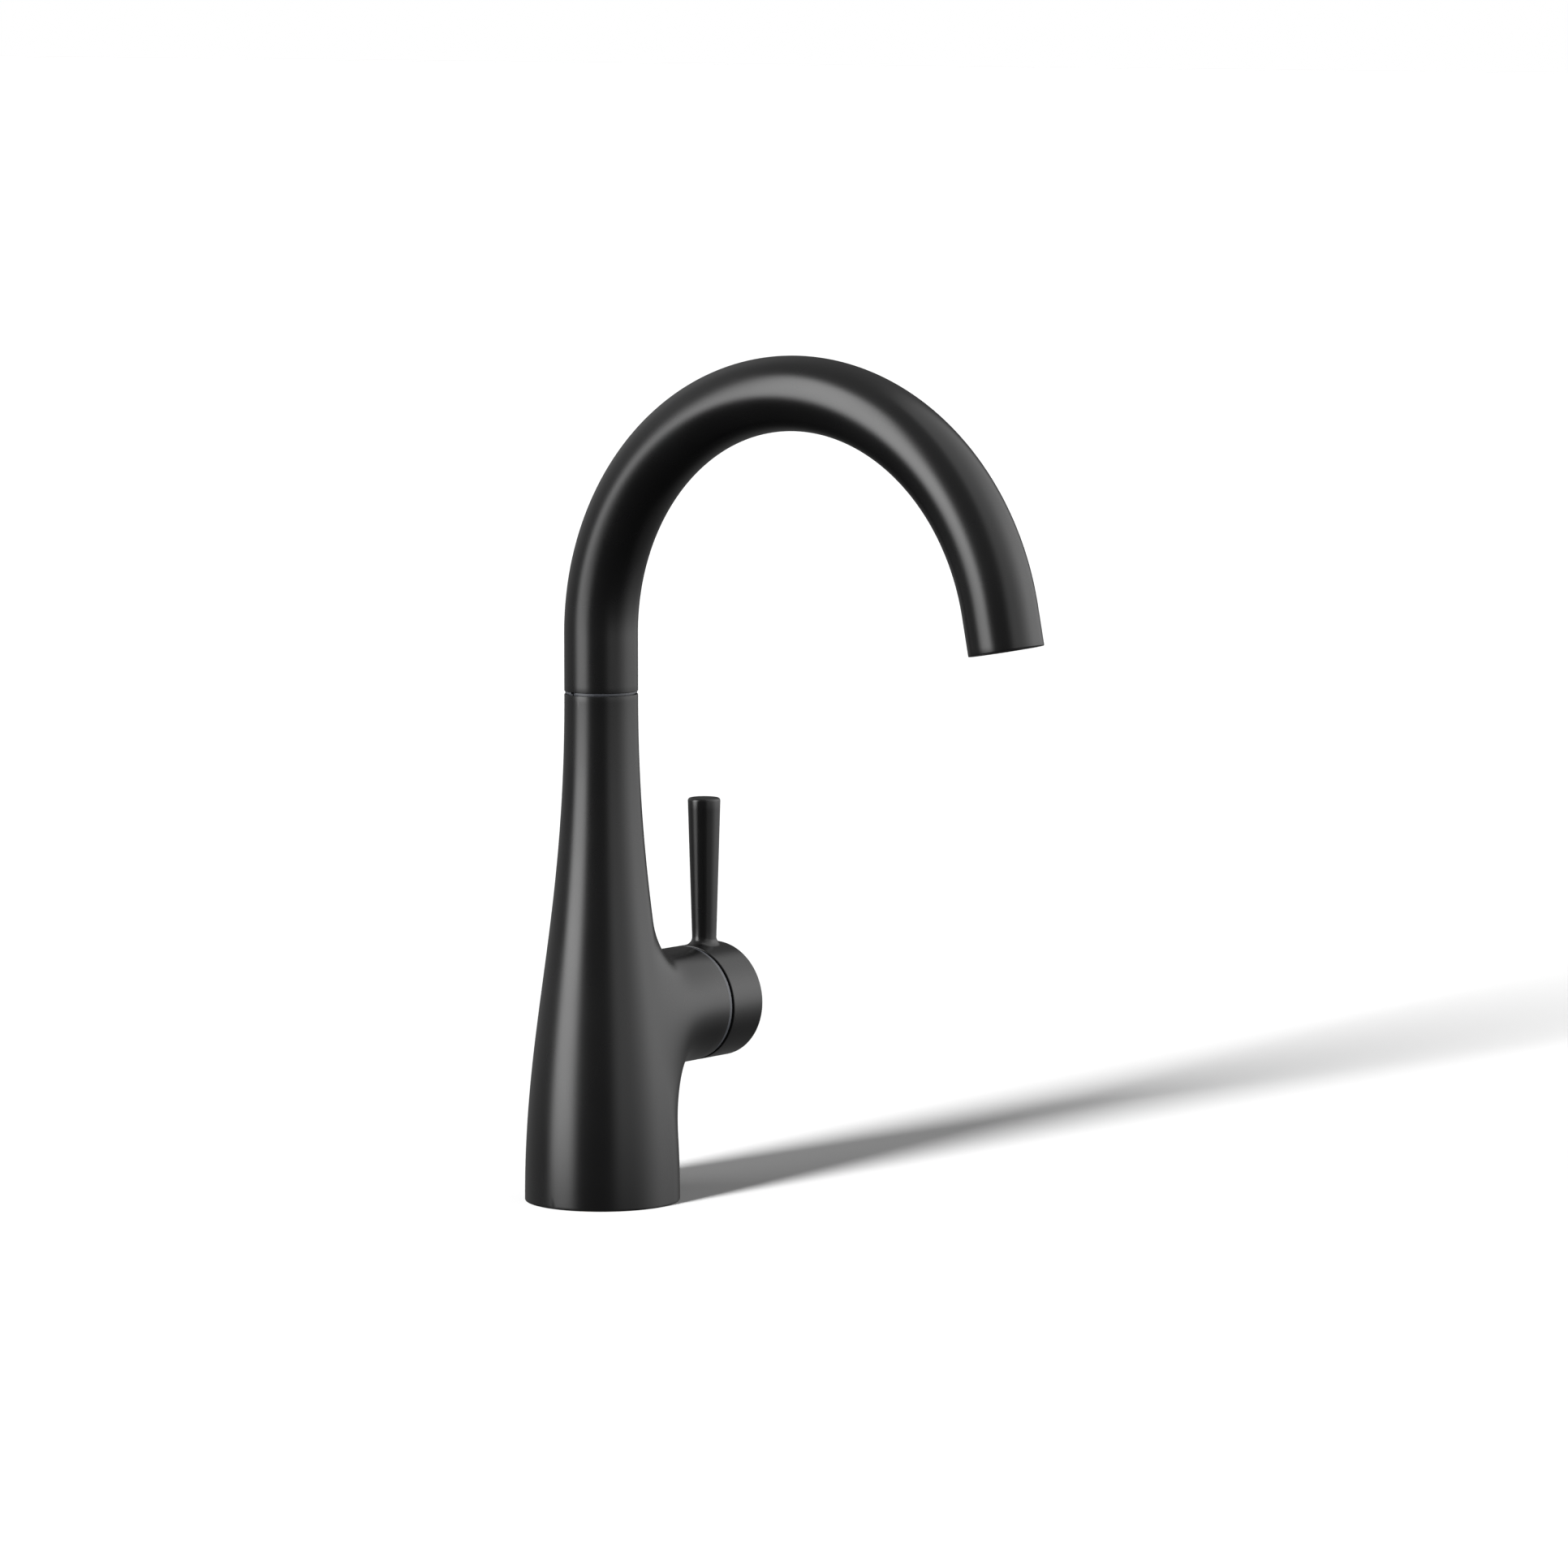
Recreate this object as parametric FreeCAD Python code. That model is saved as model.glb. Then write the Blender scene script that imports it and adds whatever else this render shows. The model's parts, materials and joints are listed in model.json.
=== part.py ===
import FreeCAD, Part
import math
import os

# Beverage faucet with a swivelling gooseneck spout and a side lever valve.
# Frame: the deck is the plane z = 0 and Z is the axis of the body and of the swivel.
# The spout reaches towards -Y, over the user's side, and the valve lies along +X.
# All sizes are in millimetres.

Vector = FreeCAD.Vector
ORIGIN = Vector(0, 0, 0)
X_AXIS = Vector(1, 0, 0)
Y_AXIS = Vector(0, 1, 0)
Z_AXIS = Vector(0, 0, 1)

# Clearances shared by the whole faucet
RUNNING_CLEARANCE = 0.06
SEATED_CLEARANCE = 0.05
THREAD_CLEARANCE = 0.10
SEAL_CLEARANCE = 0.03
FILM = 0.02
DRILL_OVERRUN = 0.5

# Body casting
BASE_DIAMETER = 47.4
BODY_HEIGHT = 155.2
FLARE_LOWER_PULL = 55.4
FLARE_UPPER_PULL = 71.0
BODY_WALL = 3.2
BASE_EDGE_ROUND = 0.4
SEAM_EDGE_ROUND = 0.2

# Spout tube
TUBE_DIAMETER = 22.4
TUBE_WALL = 1.2
SPOUT_SEAM_GAP = 0.9
SPOUT_RISE = 17.45
BEND_RADIUS = 75.25
BEND_ANGLE = 168.8
OUTLET_STRAIGHT = 11.9
OUTLET_EDGE_ROUND = 0.3

# Spout swivel in the neck of the body
FERRULE_PLUG_LENGTH = 14.0
FERRULE_STEP = 1.3
FERRULE_BORE = 11.0
FERRULE_DEPTH = 33.0
FERRULE_END_GAP = 1.0
PASSAGE_FLOOR = 3.0
BEARING_WALL = 1.0
BEARING_DEPTH = 5.0
BEARING_SETBACK = 0.25
BEARING_UNDERCUT = 0.9
BEARING_LIP_GAP = 0.4
NOTCH_WIDTH = 2.4
NOTCH_DEPTH = 1.1
NOTCH_ANGLE = 168.7
SWIVEL_SEAL_GROOVE = 1.6
SWIVEL_SEAL_HEIGHT = 1.7
UPPER_SEAL_DROP = 10.0
LOWER_SEAL_DROP = 16.0
SNAP_RING_DROP = 25.0
SNAP_RING_GROOVE = 1.3
SNAP_RING_REACH = 0.8
SNAP_RING_HEIGHT = 1.2
SNAP_RING_OPENING = 4.0
SNAP_GROOVE_SLACK = 0.25

# Valve stub and its blend into the flare
VALVE_HEIGHT = 55.9
HUB_DIAMETER = 35.6
STUB_REACH = 40.8
STUB_WALL = 3.3
STUB_EDGE_ROUND = 0.4
STUB_STRAIGHT = 4.0
BLEND_ABOVE = 34.5
BLEND_BELOW = 47.0
BLEND_HALF_ANGLE = 84.0
BLEND_SIDE_FULLNESS = -0.3
BLEND_END_FULLNESS = 0.3
BLEND_BODY_PULL = 0.60
BLEND_STUB_PULL = 0.53
BLEND_STATIONS = 48
SEWING_TOLERANCE = 0.001

# Waterways in the casting
SEAT_OFFSET = 2.0
INLET_OFFSET = -9.0
OUTLET_OFFSET = 8.0
WATERWAY_DIAMETER = 9.0
LOWER_CHAMBER_FLOOR = 20.0

# Ceramic disc cartridge, from the seat outwards
CARTRIDGE_DIAMETER = 23.6
SEAT_SEAL_THICKNESS = 2.0
SEAT_SEAL_DIAMETER = 15.0
SEAT_SEAL_BORE = 10.0
DISC_DIAMETER = 17.8
DISC_THICKNESS = 3.0
DISC_RUN_IN = 0.2
DISC_PORT_OUTER = 14.0
DISC_PORT_INNER = 4.0
DISC_PORT_SPAN = 80.0
CAGE_INSET = 1.0
WINDOW_WIDTH = 9.0
WINDOW_LENGTH = 5.2
MOUTH_DEPTH = 18.8
FLANGE_THICKNESS = 3.0
NECK_DIAMETER = 17.2
NECK_LENGTH = 9.5
CARTRIDGE_SEAL_SETBACK = 4.5
CARTRIDGE_SEAL_GROOVE = 1.6
CARTRIDGE_SEAL_WIDTH = 1.9
BONNET_THREAD_LENGTH = 8.0
BONNET_HEX_LENGTH = 4.6
BONNET_HEX = 22.0

# Valve stem and what sits on it
STEM_DIAMETER = 9.0
STEM_FOOT_DIAMETER = 16.4
STEM_FOOT_THICKNESS = 2.4
STEM_TANG_WIDTH = 3.0
STEM_TANG_DEPTH = 1.5
THRUST_WASHER_THICKNESS = 0.8
THRUST_WASHER_DIAMETER = 15.0
STEM_SEAL_GROOVE = 1.3
STEM_SEAL_WIDTH = 1.5
STEM_SEAL_SETBACK = 4.0
STEM_SEAL_SPACING = 5.0
STEM_CLIP_GROOVE = 0.9
STEM_CLIP_THICKNESS = 0.8
STEM_CLIP_DIAMETER = 13.0
STEM_CLIP_OPENING = 5.0
SPIGOT_DIAMETER = 8.0
SPIGOT_SETBACK = 3.8
SPIGOT_END_GAP = 1.15
SPIGOT_FLAT = 3.2

# Handle: hub and lever in one piece
HUB_GAP = 1.9
HUB_LENGTH = 14.45
HUB_WALL = 3.0
HUB_END_WALL = 4.0
HUB_INNER_ROUND = 0.4
HUB_OUTER_ROUND = 0.45
BOSS_DIAMETER = 15.0
BOSS_RECESS = 1.0
LEVER_INSET = 7.7
LEVER_TOP = 119.0
LEVER_TOP_DIAMETER = 10.15
LEVER_ROOT_DIAMETER = 7.45
LEVER_ROOT_ROUND = 2.5
LEVER_RIM_ROUND = 0.9
LEVER_DISH_DIAMETER = 7.6
LEVER_DISH_DEPTH = 0.35
GLIDE_SPIGOT_LENGTH = 2.5
GLIDE_WALL = 2.2
GLIDE_SETBACK = 0.2
GLIDE_GAP = 0.85

# Handle set screw and the plug that closes its hole
SET_SCREW_INSET = 5.6
SET_SCREW_DIAMETER = 5.0
SET_SCREW_LENGTH = 8.0
SET_SCREW_HEX = 2.5
SET_SCREW_SOCKET = 3.0
PILLAR_WALL = 1.9
PLUG_DIAMETER = 6.0
PLUG_DEPTH = 3.2

# Aerator in the spout's end
AERATOR_RECESS = 0.8
AERATOR_LENGTH = 8.4
AERATOR_WALL = 1.6
AERATOR_LEDGE = 0.6
AERATOR_LEDGE_HEIGHT = 0.8
AERATOR_KEY_COUNT = 4
AERATOR_KEY_WIDTH = 1.8
AERATOR_KEY_DEPTH = 0.7
INSERT_LENGTH = 5.0
INSERT_CELL = 1.9
INSERT_PITCH = 2.3
INSERT_RIM = 0.7
AERATOR_WASHER_THICKNESS = 1.5
AERATOR_WASHER_WALL = 2.6

# Mounting below the deck
DECK_THICKNESS = 30.0
SHANK_DIAMETER = 20.95
SHANK_BORE = 9.0
SHANK_ENGAGEMENT = 13.0
SHANK_DROP = 55.0
SHANK_CHAMFER = 1.0
SHANK_SEAL_THICKNESS = 1.5
SHANK_SEAL_WALL = 3.0
INLET_DIAMETER = 14.3
INLET_LENGTH = 12.0
INLET_CHAMFER = 0.8
GASKET_INNER_DIAMETER = 34.0
GASKET_OUTER_DIAMETER = 43.0
GASKET_DEPTH = 1.5
RUBBER_WASHER_DIAMETER = 42.0
RUBBER_WASHER_THICKNESS = 3.0
STEEL_WASHER_DIAMETER = 40.0
STEEL_WASHER_THICKNESS = 1.5
NUT_ACROSS_FLATS = 30.0
NUT_HEIGHT = 9.0
NUT_CHAMFER = 1.2

# Sizes that follow from the ones above
base_radius = BASE_DIAMETER / 2
tube_radius = TUBE_DIAMETER / 2
tube_bore_radius = tube_radius - TUBE_WALL
ferrule_radius = tube_bore_radius - FERRULE_STEP
socket_radius = ferrule_radius + RUNNING_CLEARANCE
bearing_spigot_radius = ferrule_radius + RUNNING_CLEARANCE + BEARING_WALL
tube_start = BODY_HEIGHT + SPOUT_SEAM_GAP
bend_start = tube_start + SPOUT_RISE
ferrule_bottom = BODY_HEIGHT - FERRULE_DEPTH
socket_bottom = ferrule_bottom - FERRULE_END_GAP
snap_ring_radius = socket_radius + SNAP_RING_REACH
snap_ring_bottom = BODY_HEIGHT - SNAP_RING_DROP

hub_radius = HUB_DIAMETER / 2
mouth_radius = hub_radius - STUB_WALL
blend_reach = STUB_REACH - STUB_STRAIGHT
cartridge_radius = CARTRIDGE_DIAMETER / 2
cartridge_bore_radius = cartridge_radius + SEATED_CLEARANCE
waterway_radius = WATERWAY_DIAMETER / 2
chamber_margin = cartridge_bore_radius + BODY_WALL
disc_radius = DISC_DIAMETER / 2
cage_radius = disc_radius + SEATED_CLEARANCE
moving_disc_radius = disc_radius - DISC_RUN_IN
fixed_disc_start = SEAT_OFFSET + SEAT_SEAL_THICKNESS
moving_disc_start = fixed_disc_start + DISC_THICKNESS + FILM
moving_disc_end = moving_disc_start + DISC_THICKNESS
foot_start = moving_disc_end + FILM
foot_end = foot_start + STEM_FOOT_THICKNESS
thrust_end = foot_end + FILM + THRUST_WASHER_THICKNESS
cage_end = thrust_end + FILM
flange_start = STUB_REACH - MOUTH_DEPTH
flange_end = flange_start + FLANGE_THICKNESS
cartridge_seal_middle = flange_start - CARTRIDGE_SEAL_SETBACK
inner_seal_middle = flange_start - STEM_SEAL_SETBACK
outer_seal_middle = inner_seal_middle + STEM_SEAL_SPACING
neck_end = flange_end + NECK_LENGTH
stem_radius = STEM_DIAMETER / 2
stem_bore_radius = stem_radius + RUNNING_CLEARANCE
spigot_radius = SPIGOT_DIAMETER / 2
hub_start = STUB_REACH + HUB_GAP
hub_end = hub_start + HUB_LENGTH
hub_floor = hub_end - HUB_END_WALL
lever_offset = hub_start + LEVER_INSET
set_screw_offset = hub_start + SET_SCREW_INSET
spigot_start = STUB_REACH - SPIGOT_SETBACK
spigot_end = hub_floor - SPIGOT_END_GAP
set_screw_radius = SET_SCREW_DIAMETER / 2
set_screw_start = SPIGOT_FLAT + SEATED_CLEARANCE
set_screw_end = set_screw_start + SET_SCREW_LENGTH
plug_radius = PLUG_DIAMETER / 2
plug_floor = hub_radius - PLUG_DEPTH
shank_radius = SHANK_DIAMETER / 2
shank_top = SHANK_ENGAGEMENT - SHANK_SEAL_THICKNESS
nut_top = -DECK_THICKNESS - RUBBER_WASHER_THICKNESS - STEEL_WASHER_THICKNESS


def turned(*points):
    """A solid of revolution about Z from (radius, height) corners in order."""
    corners = [Vector(r, 0, z) for r, z in points]
    wire = Part.makePolygon(corners + corners[:1])
    return Part.Face(wire).revolve(ORIGIN, Z_AXIS, 360)


def collar(inner_radius, outer_radius, bottom, top):
    """A plain ring about Z."""
    return turned(
        (inner_radius, bottom),
        (outer_radius, bottom),
        (outer_radius, top),
        (inner_radius, top),
    )


def rod(radius, bottom, top):
    """A plain cylinder about Z."""
    return Part.makeCylinder(radius, top - bottom, Vector(0, 0, bottom))


def hexagon(across_flats, bottom, top):
    """A hexagonal prism about Z with two flats square to X."""
    corner = across_flats / math.sqrt(3)
    turns = [math.radians(30 + 60 * step) for step in range(7)]
    wire = Part.makePolygon([Vector(corner * math.cos(a), corner * math.sin(a), bottom) for a in turns])
    return Part.Face(wire).extrude(Vector(0, 0, top - bottom))


def block(x_span, y_span, z_span):
    """A box from (low, high) pairs along X, Y and Z."""
    low = Vector(x_span[0], y_span[0], z_span[0])
    return Part.makeBox(x_span[1] - x_span[0], y_span[1] - y_span[0], z_span[1] - z_span[0], low)


def on_valve_axis(shape):
    """Turns a shape made about Z onto the valve axis: Z becomes +X and X points down."""
    placed = shape.copy()
    placed.rotate(ORIGIN, Y_AXIS, 90)
    placed.translate(Vector(0, 0, VALVE_HEIGHT))
    return placed


def at_outlet(shape):
    """Moves a shape made about Z to the spout's end, with Z pointing up the tube."""
    turn = math.radians(BEND_ANGLE)
    along = BEND_RADIUS * math.cos(turn) - BEND_RADIUS - OUTLET_STRAIGHT * math.sin(turn)
    height = bend_start + BEND_RADIUS * math.sin(turn) + OUTLET_STRAIGHT * math.cos(turn)
    placed = shape.copy()
    placed.rotate(ORIGIN, X_AXIS, BEND_ANGLE - 180)
    placed.translate(Vector(0, along, height))
    return placed


def circles_at(shape, radius, point, normal):
    """The circular edges of a shape with this radius, in the plane through the point."""
    found = []
    for edge in shape.Edges:
        if edge.Degenerated or edge.Curve.TypeId != "Part::GeomCircle":
            continue
        same_radius = abs(edge.Curve.Radius - radius) < 1e-4
        if same_radius and abs((edge.Curve.Center - point).dot(normal)) < 1e-4:
            found.append(edge)
    return found


def flare_curve(inset):
    """The side of the flare, moved in by the inset, drawn on the side away from the valve."""
    low = base_radius - inset
    high = tube_radius - inset
    curve = Part.BezierCurve()
    curve.setPoles([
        Vector(-low, 0, 0),
        Vector(-low, 0, FLARE_LOWER_PULL),
        Vector(-high, 0, BODY_HEIGHT - FLARE_UPPER_PULL),
        Vector(-high, 0, BODY_HEIGHT),
    ])
    return curve


def flare(inset):
    """The body's flare as a solid, with its side moved in by the inset."""
    side = flare_curve(inset).toShape()
    top = Part.makeLine(side.Vertexes[1].Point, Vector(0, 0, BODY_HEIGHT))
    axis = Part.makeLine(Vector(0, 0, BODY_HEIGHT), ORIGIN)
    bottom = Part.makeLine(ORIGIN, side.Vertexes[0].Point)
    return Part.Face(Part.Wire([side, top, axis, bottom])).revolve(ORIGIN, Z_AXIS, 360)


def flare_at(height):
    """The flare's radius at a height, and how fast the radius changes with height there."""
    curve = flare_curve(0)
    low = 0.0
    high = 1.0
    for halving in range(50):
        middle = (low + high) / 2
        if curve.value(middle).z < height:
            low = middle
        else:
            high = middle
    tangent = curve.tangent(middle)[0]
    return -curve.value(middle).x, -tangent.x / tangent.z


def blend_section(turn):
    """The poles of the blend's curve from the flare to the stub, at this angle round the stub."""
    side = math.sin(turn)
    rise = math.cos(turn)
    around = -math.radians(BLEND_HALF_ANGLE) * side * (1 + BLEND_SIDE_FULLNESS * rise * rise)
    reach = (BLEND_ABOVE + BLEND_BELOW) / 2 + (BLEND_ABOVE - BLEND_BELOW) / 2 * rise
    height = VALVE_HEIGHT + rise * reach * (1 + BLEND_END_FULLNESS * side * side)
    radius, slope = flare_at(height)
    outward = Vector(math.cos(around), math.sin(around), -slope).normalize()
    on_body = Vector(radius * math.cos(around), radius * math.sin(around), height)
    on_stub = Vector(blend_reach, -hub_radius * side, VALVE_HEIGHT + hub_radius * rise)
    span = on_stub - on_body
    along_body = (span - outward * span.dot(outward)).normalize()
    body_pull = on_body + along_body * (BLEND_BODY_PULL * span.Length)
    stub_pull = on_stub - X_AXIS * (BLEND_STUB_PULL * span.Length)
    return [on_body, body_pull, stub_pull, on_stub]


def blend_surface():
    """The swept surface that leaves the flare along its side and meets the stub along its axis."""
    turns = [math.pi + 2 * math.pi * step / BLEND_STATIONS for step in range(BLEND_STATIONS)]
    sections = [blend_section(turn) for turn in turns]
    stations = [float(step) for step in range(BLEND_STATIONS + 1)]
    rings = []
    for points in zip(*sections):
        ring = Part.BSplineCurve()
        ring.interpolate(Points=list(points), PeriodicFlag=True, Parameters=stations)
        rings.append(ring)
    poles = [list(row) for row in zip(*[ring.getPoles() for ring in rings])]
    around = rings[0]
    surface = Part.BSplineSurface()
    surface.buildFromPolesMultsKnots(
        poles, around.getMultiplicities(), [4, 4], around.getKnots(), [0.0, 1.0], True, False, 3, 3)
    return surface.toShape()


def casting_outside():
    """The outside of the casting: the flare with the valve stub blended into it."""
    blend = blend_surface()
    rings = [edge for edge in blend.Edges if edge.isClosed()]
    body_ring, stub_ring = sorted(rings, key=lambda edge: edge.BoundBox.XMin)
    stub = stub_ring.extrude(X_AXIS * STUB_STRAIGHT)
    end_ring = max(stub.Edges, key=lambda edge: edge.BoundBox.XMin)
    faces = [blend, stub, Part.Face(Part.Wire(end_ring))]
    for face in flare(0).Faces:
        if not isinstance(face.Surface, Part.Plane):
            face = Part.Face(face, Part.Wire(body_ring))
            face.validate()
        faces.append(face)
    skin = Part.makeCompound(faces)
    skin.sewShape(SEWING_TOLERANCE)
    outside = Part.Solid(skin.Shells[0])
    stub_end = [edge for edge in outside.Edges if edge.BoundBox.XMin > STUB_REACH - STUB_EDGE_ROUND]
    outside = outside.makeFillet(STUB_EDGE_ROUND, stub_end)
    neck_top = Vector(0, 0, BODY_HEIGHT)
    outside = outside.makeFillet(SEAM_EDGE_ROUND, circles_at(outside, tube_radius, neck_top, Z_AXIS))
    return outside.makeFillet(BASE_EDGE_ROUND, circles_at(outside, base_radius, ORIGIN, Z_AXIS))


def casting_waterways():
    """The cored chambers, from the shank's end up past the valve to the spout's socket."""
    core = flare(BODY_WALL)
    lower_top = VALVE_HEIGHT - chamber_margin
    upper_bottom = VALVE_HEIGHT + chamber_margin
    upper_top = socket_bottom - PASSAGE_FLOOR
    lower = core.common(rod(base_radius, LOWER_CHAMBER_FLOOR, lower_top))
    upper = core.common(rod(base_radius, upper_bottom, upper_top))
    shank_way = rod(SHANK_BORE / 2, 0, LOWER_CHAMBER_FLOOR + DRILL_OVERRUN)
    spout_way = rod(FERRULE_BORE / 2, upper_top - DRILL_OVERRUN, socket_bottom + DRILL_OVERRUN)
    rise = rod(waterway_radius, lower_top - DRILL_OVERRUN, VALVE_HEIGHT)
    rise.translate(Vector(INLET_OFFSET, 0, 0))
    elbow = Part.makeSphere(waterway_radius, Vector(INLET_OFFSET, 0, VALVE_HEIGHT))
    seat_way = on_valve_axis(rod(waterway_radius, INLET_OFFSET, SEAT_OFFSET + DRILL_OVERRUN))
    outlet_way = rod(waterway_radius, VALVE_HEIGHT, upper_bottom + DRILL_OVERRUN)
    outlet_way.translate(Vector(OUTLET_OFFSET, 0, 0))
    return [lower, upper, shank_way, spout_way, rise, elbow, seat_way, outlet_way]


def casting_bores():
    """The machined bores for the shank, the gasket, the cartridge and the spout."""
    shank_hole = rod(shank_radius + THREAD_CLEARANCE, -DRILL_OVERRUN, SHANK_ENGAGEMENT)
    gasket_inner = GASKET_INNER_DIAMETER / 2
    gasket_outer = GASKET_OUTER_DIAMETER / 2
    gasket_groove = collar(gasket_inner, gasket_outer, -DRILL_OVERRUN, GASKET_DEPTH)
    cartridge_bore = on_valve_axis(turned(
        (0, SEAT_OFFSET),
        (cartridge_bore_radius, SEAT_OFFSET),
        (cartridge_bore_radius, flange_start),
        (mouth_radius, flange_start),
        (mouth_radius, STUB_REACH + DRILL_OVERRUN),
        (0, STUB_REACH + DRILL_OVERRUN),
    ))
    mouth = bearing_spigot_radius + SEATED_CLEARANCE
    socket = turned(
        (0, socket_bottom),
        (socket_radius, socket_bottom),
        (socket_radius, BODY_HEIGHT - BEARING_DEPTH),
        (mouth, BODY_HEIGHT - BEARING_DEPTH),
        (mouth, BODY_HEIGHT + DRILL_OVERRUN),
        (0, BODY_HEIGHT + DRILL_OVERRUN),
    )
    groove_bottom = snap_ring_bottom - SNAP_GROOVE_SLACK
    groove_top = snap_ring_bottom + SNAP_RING_HEIGHT + SNAP_GROOVE_SLACK
    snap_groove = collar(ferrule_radius, snap_ring_radius + SNAP_GROOVE_SLACK, groove_bottom, groove_top)
    return [shank_hole, gasket_groove, cartridge_bore, socket, snap_groove]


def body_casting():
    """The hollow casting: flared base, neck and valve stub."""
    return casting_outside().cut(casting_waterways() + casting_bores())


def base_gasket():
    """The flat gasket in the groove under the base, flush with the deck."""
    inner = GASKET_INNER_DIAMETER / 2 + SEATED_CLEARANCE
    outer = GASKET_OUTER_DIAMETER / 2 - SEATED_CLEARANCE
    return collar(inner, outer, 0, GASKET_DEPTH)


def mounting_shank():
    """The hollow shank that goes through the deck, with the supply inlet on its lower end."""
    inlet_radius = INLET_DIAMETER / 2
    bore = SHANK_BORE / 2
    inlet_bottom = -SHANK_DROP - INLET_LENGTH
    return turned(
        (bore, inlet_bottom),
        (inlet_radius - INLET_CHAMFER, inlet_bottom),
        (inlet_radius, inlet_bottom + INLET_CHAMFER),
        (inlet_radius, -SHANK_DROP),
        (shank_radius - SHANK_CHAMFER, -SHANK_DROP),
        (shank_radius, -SHANK_DROP + SHANK_CHAMFER),
        (shank_radius, shank_top),
        (bore, shank_top),
    )


def shank_seal():
    """The sealing ring between the shank's upper end and the casting."""
    inner = shank_radius - SHANK_SEAL_WALL
    return collar(inner, shank_radius, shank_top, SHANK_ENGAGEMENT)


def deck_rubber_washer():
    """The rubber washer that bears on the underside of the deck."""
    bottom = -DECK_THICKNESS - RUBBER_WASHER_THICKNESS
    return collar(shank_radius + THREAD_CLEARANCE, RUBBER_WASHER_DIAMETER / 2, bottom, -DECK_THICKNESS)


def deck_steel_washer():
    """The steel washer between the rubber washer and the nut."""
    top = nut_top + STEEL_WASHER_THICKNESS
    return collar(shank_radius + THREAD_CLEARANCE, STEEL_WASHER_DIAMETER / 2, nut_top, top)


def mounting_nut():
    """The hexagon nut on the shank, chamfered at both ends."""
    bottom = nut_top - NUT_HEIGHT
    corner = NUT_ACROSS_FLATS / math.sqrt(3)
    barrel = turned(
        (0, bottom),
        (corner - NUT_CHAMFER, bottom),
        (corner, bottom + NUT_CHAMFER),
        (corner, nut_top - NUT_CHAMFER),
        (corner - NUT_CHAMFER, nut_top),
        (0, nut_top),
    )
    thread = rod(shank_radius + THREAD_CLEARANCE, bottom - DRILL_OVERRUN, nut_top + DRILL_OVERRUN)
    return hexagon(NUT_ACROSS_FLATS, bottom, nut_top).common(barrel).cut(thread)


def spout_bearing():
    """The flanged bearing in the body's neck that carries the spout, with a notched lip in the seam."""
    bore = ferrule_radius + RUNNING_CLEARANCE
    lip_radius = tube_radius - BEARING_SETBACK
    seat_radius = tube_radius - BEARING_UNDERCUT
    lip_bottom = BODY_HEIGHT + BEARING_LIP_GAP
    bearing = turned(
        (bore, BODY_HEIGHT - BEARING_DEPTH),
        (bearing_spigot_radius, BODY_HEIGHT - BEARING_DEPTH),
        (bearing_spigot_radius, BODY_HEIGHT),
        (seat_radius, BODY_HEIGHT),
        (seat_radius, lip_bottom),
        (lip_radius, lip_bottom),
        (lip_radius, tube_start - FILM),
        (bore, tube_start - FILM),
    )
    half = NOTCH_WIDTH / 2
    notch_span = (lip_radius - NOTCH_DEPTH, tube_radius)
    notch = block(notch_span, (-half, half), (BODY_HEIGHT, tube_start))
    notch.rotate(ORIGIN, Z_AXIS, NOTCH_ANGLE)
    return bearing.cut(notch)


def swivel_seal(drop):
    """A seal ring in its groove on the ferrule, this far below the body's top."""
    inner = ferrule_radius - SWIVEL_SEAL_GROOVE + SEAL_CLEARANCE
    bottom = BODY_HEIGHT - drop
    return collar(inner, socket_radius - SEAL_CLEARANCE, bottom, bottom + SWIVEL_SEAL_HEIGHT)


def seal_groove(drop):
    """The groove on the ferrule for a seal ring."""
    bottom = BODY_HEIGHT - drop - SEATED_CLEARANCE
    top = BODY_HEIGHT - drop + SWIVEL_SEAL_HEIGHT + SEATED_CLEARANCE
    return collar(ferrule_radius - SWIVEL_SEAL_GROOVE, tube_radius, bottom, top)


def spout_ferrule():
    """The ferrule fixed in the tube, with grooves for the seals and the snap ring."""
    bore = FERRULE_BORE / 2
    plug_radius_in_tube = tube_bore_radius - SEATED_CLEARANCE
    blank = turned(
        (bore, ferrule_bottom),
        (ferrule_radius, ferrule_bottom),
        (ferrule_radius, tube_start),
        (plug_radius_in_tube, tube_start),
        (plug_radius_in_tube, tube_start + FERRULE_PLUG_LENGTH),
        (bore, tube_start + FERRULE_PLUG_LENGTH),
    )
    snap_groove = collar(
        ferrule_radius - SNAP_RING_GROOVE,
        tube_radius,
        snap_ring_bottom - SEATED_CLEARANCE,
        snap_ring_bottom + SNAP_RING_HEIGHT + SEATED_CLEARANCE,
    )
    return blank.cut([seal_groove(UPPER_SEAL_DROP), seal_groove(LOWER_SEAL_DROP), snap_groove])


def spout_snap_ring():
    """The open ring that keeps the ferrule in the body's socket."""
    inner = ferrule_radius - SNAP_RING_GROOVE + SEATED_CLEARANCE
    top = snap_ring_bottom + SNAP_RING_HEIGHT
    ring = collar(inner, snap_ring_radius, snap_ring_bottom, top)
    half = SNAP_RING_OPENING / 2
    return ring.cut(block((-half, half), (0, base_radius), (snap_ring_bottom, top)))


def gooseneck(radius):
    """The gooseneck as a solid rod: a straight rise, the bend and the straight end."""
    disc = Part.Face(Part.Wire(Part.makeCircle(radius, Vector(0, 0, bend_start), Z_AXIS)))
    rise = rod(radius, tube_start, bend_start)
    bend = disc.revolve(Vector(0, -BEND_RADIUS, bend_start), X_AXIS, BEND_ANGLE)
    end = at_outlet(rod(radius, 0, OUTLET_STRAIGHT))
    return rise.fuse([bend, end]).removeSplitter()


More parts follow.
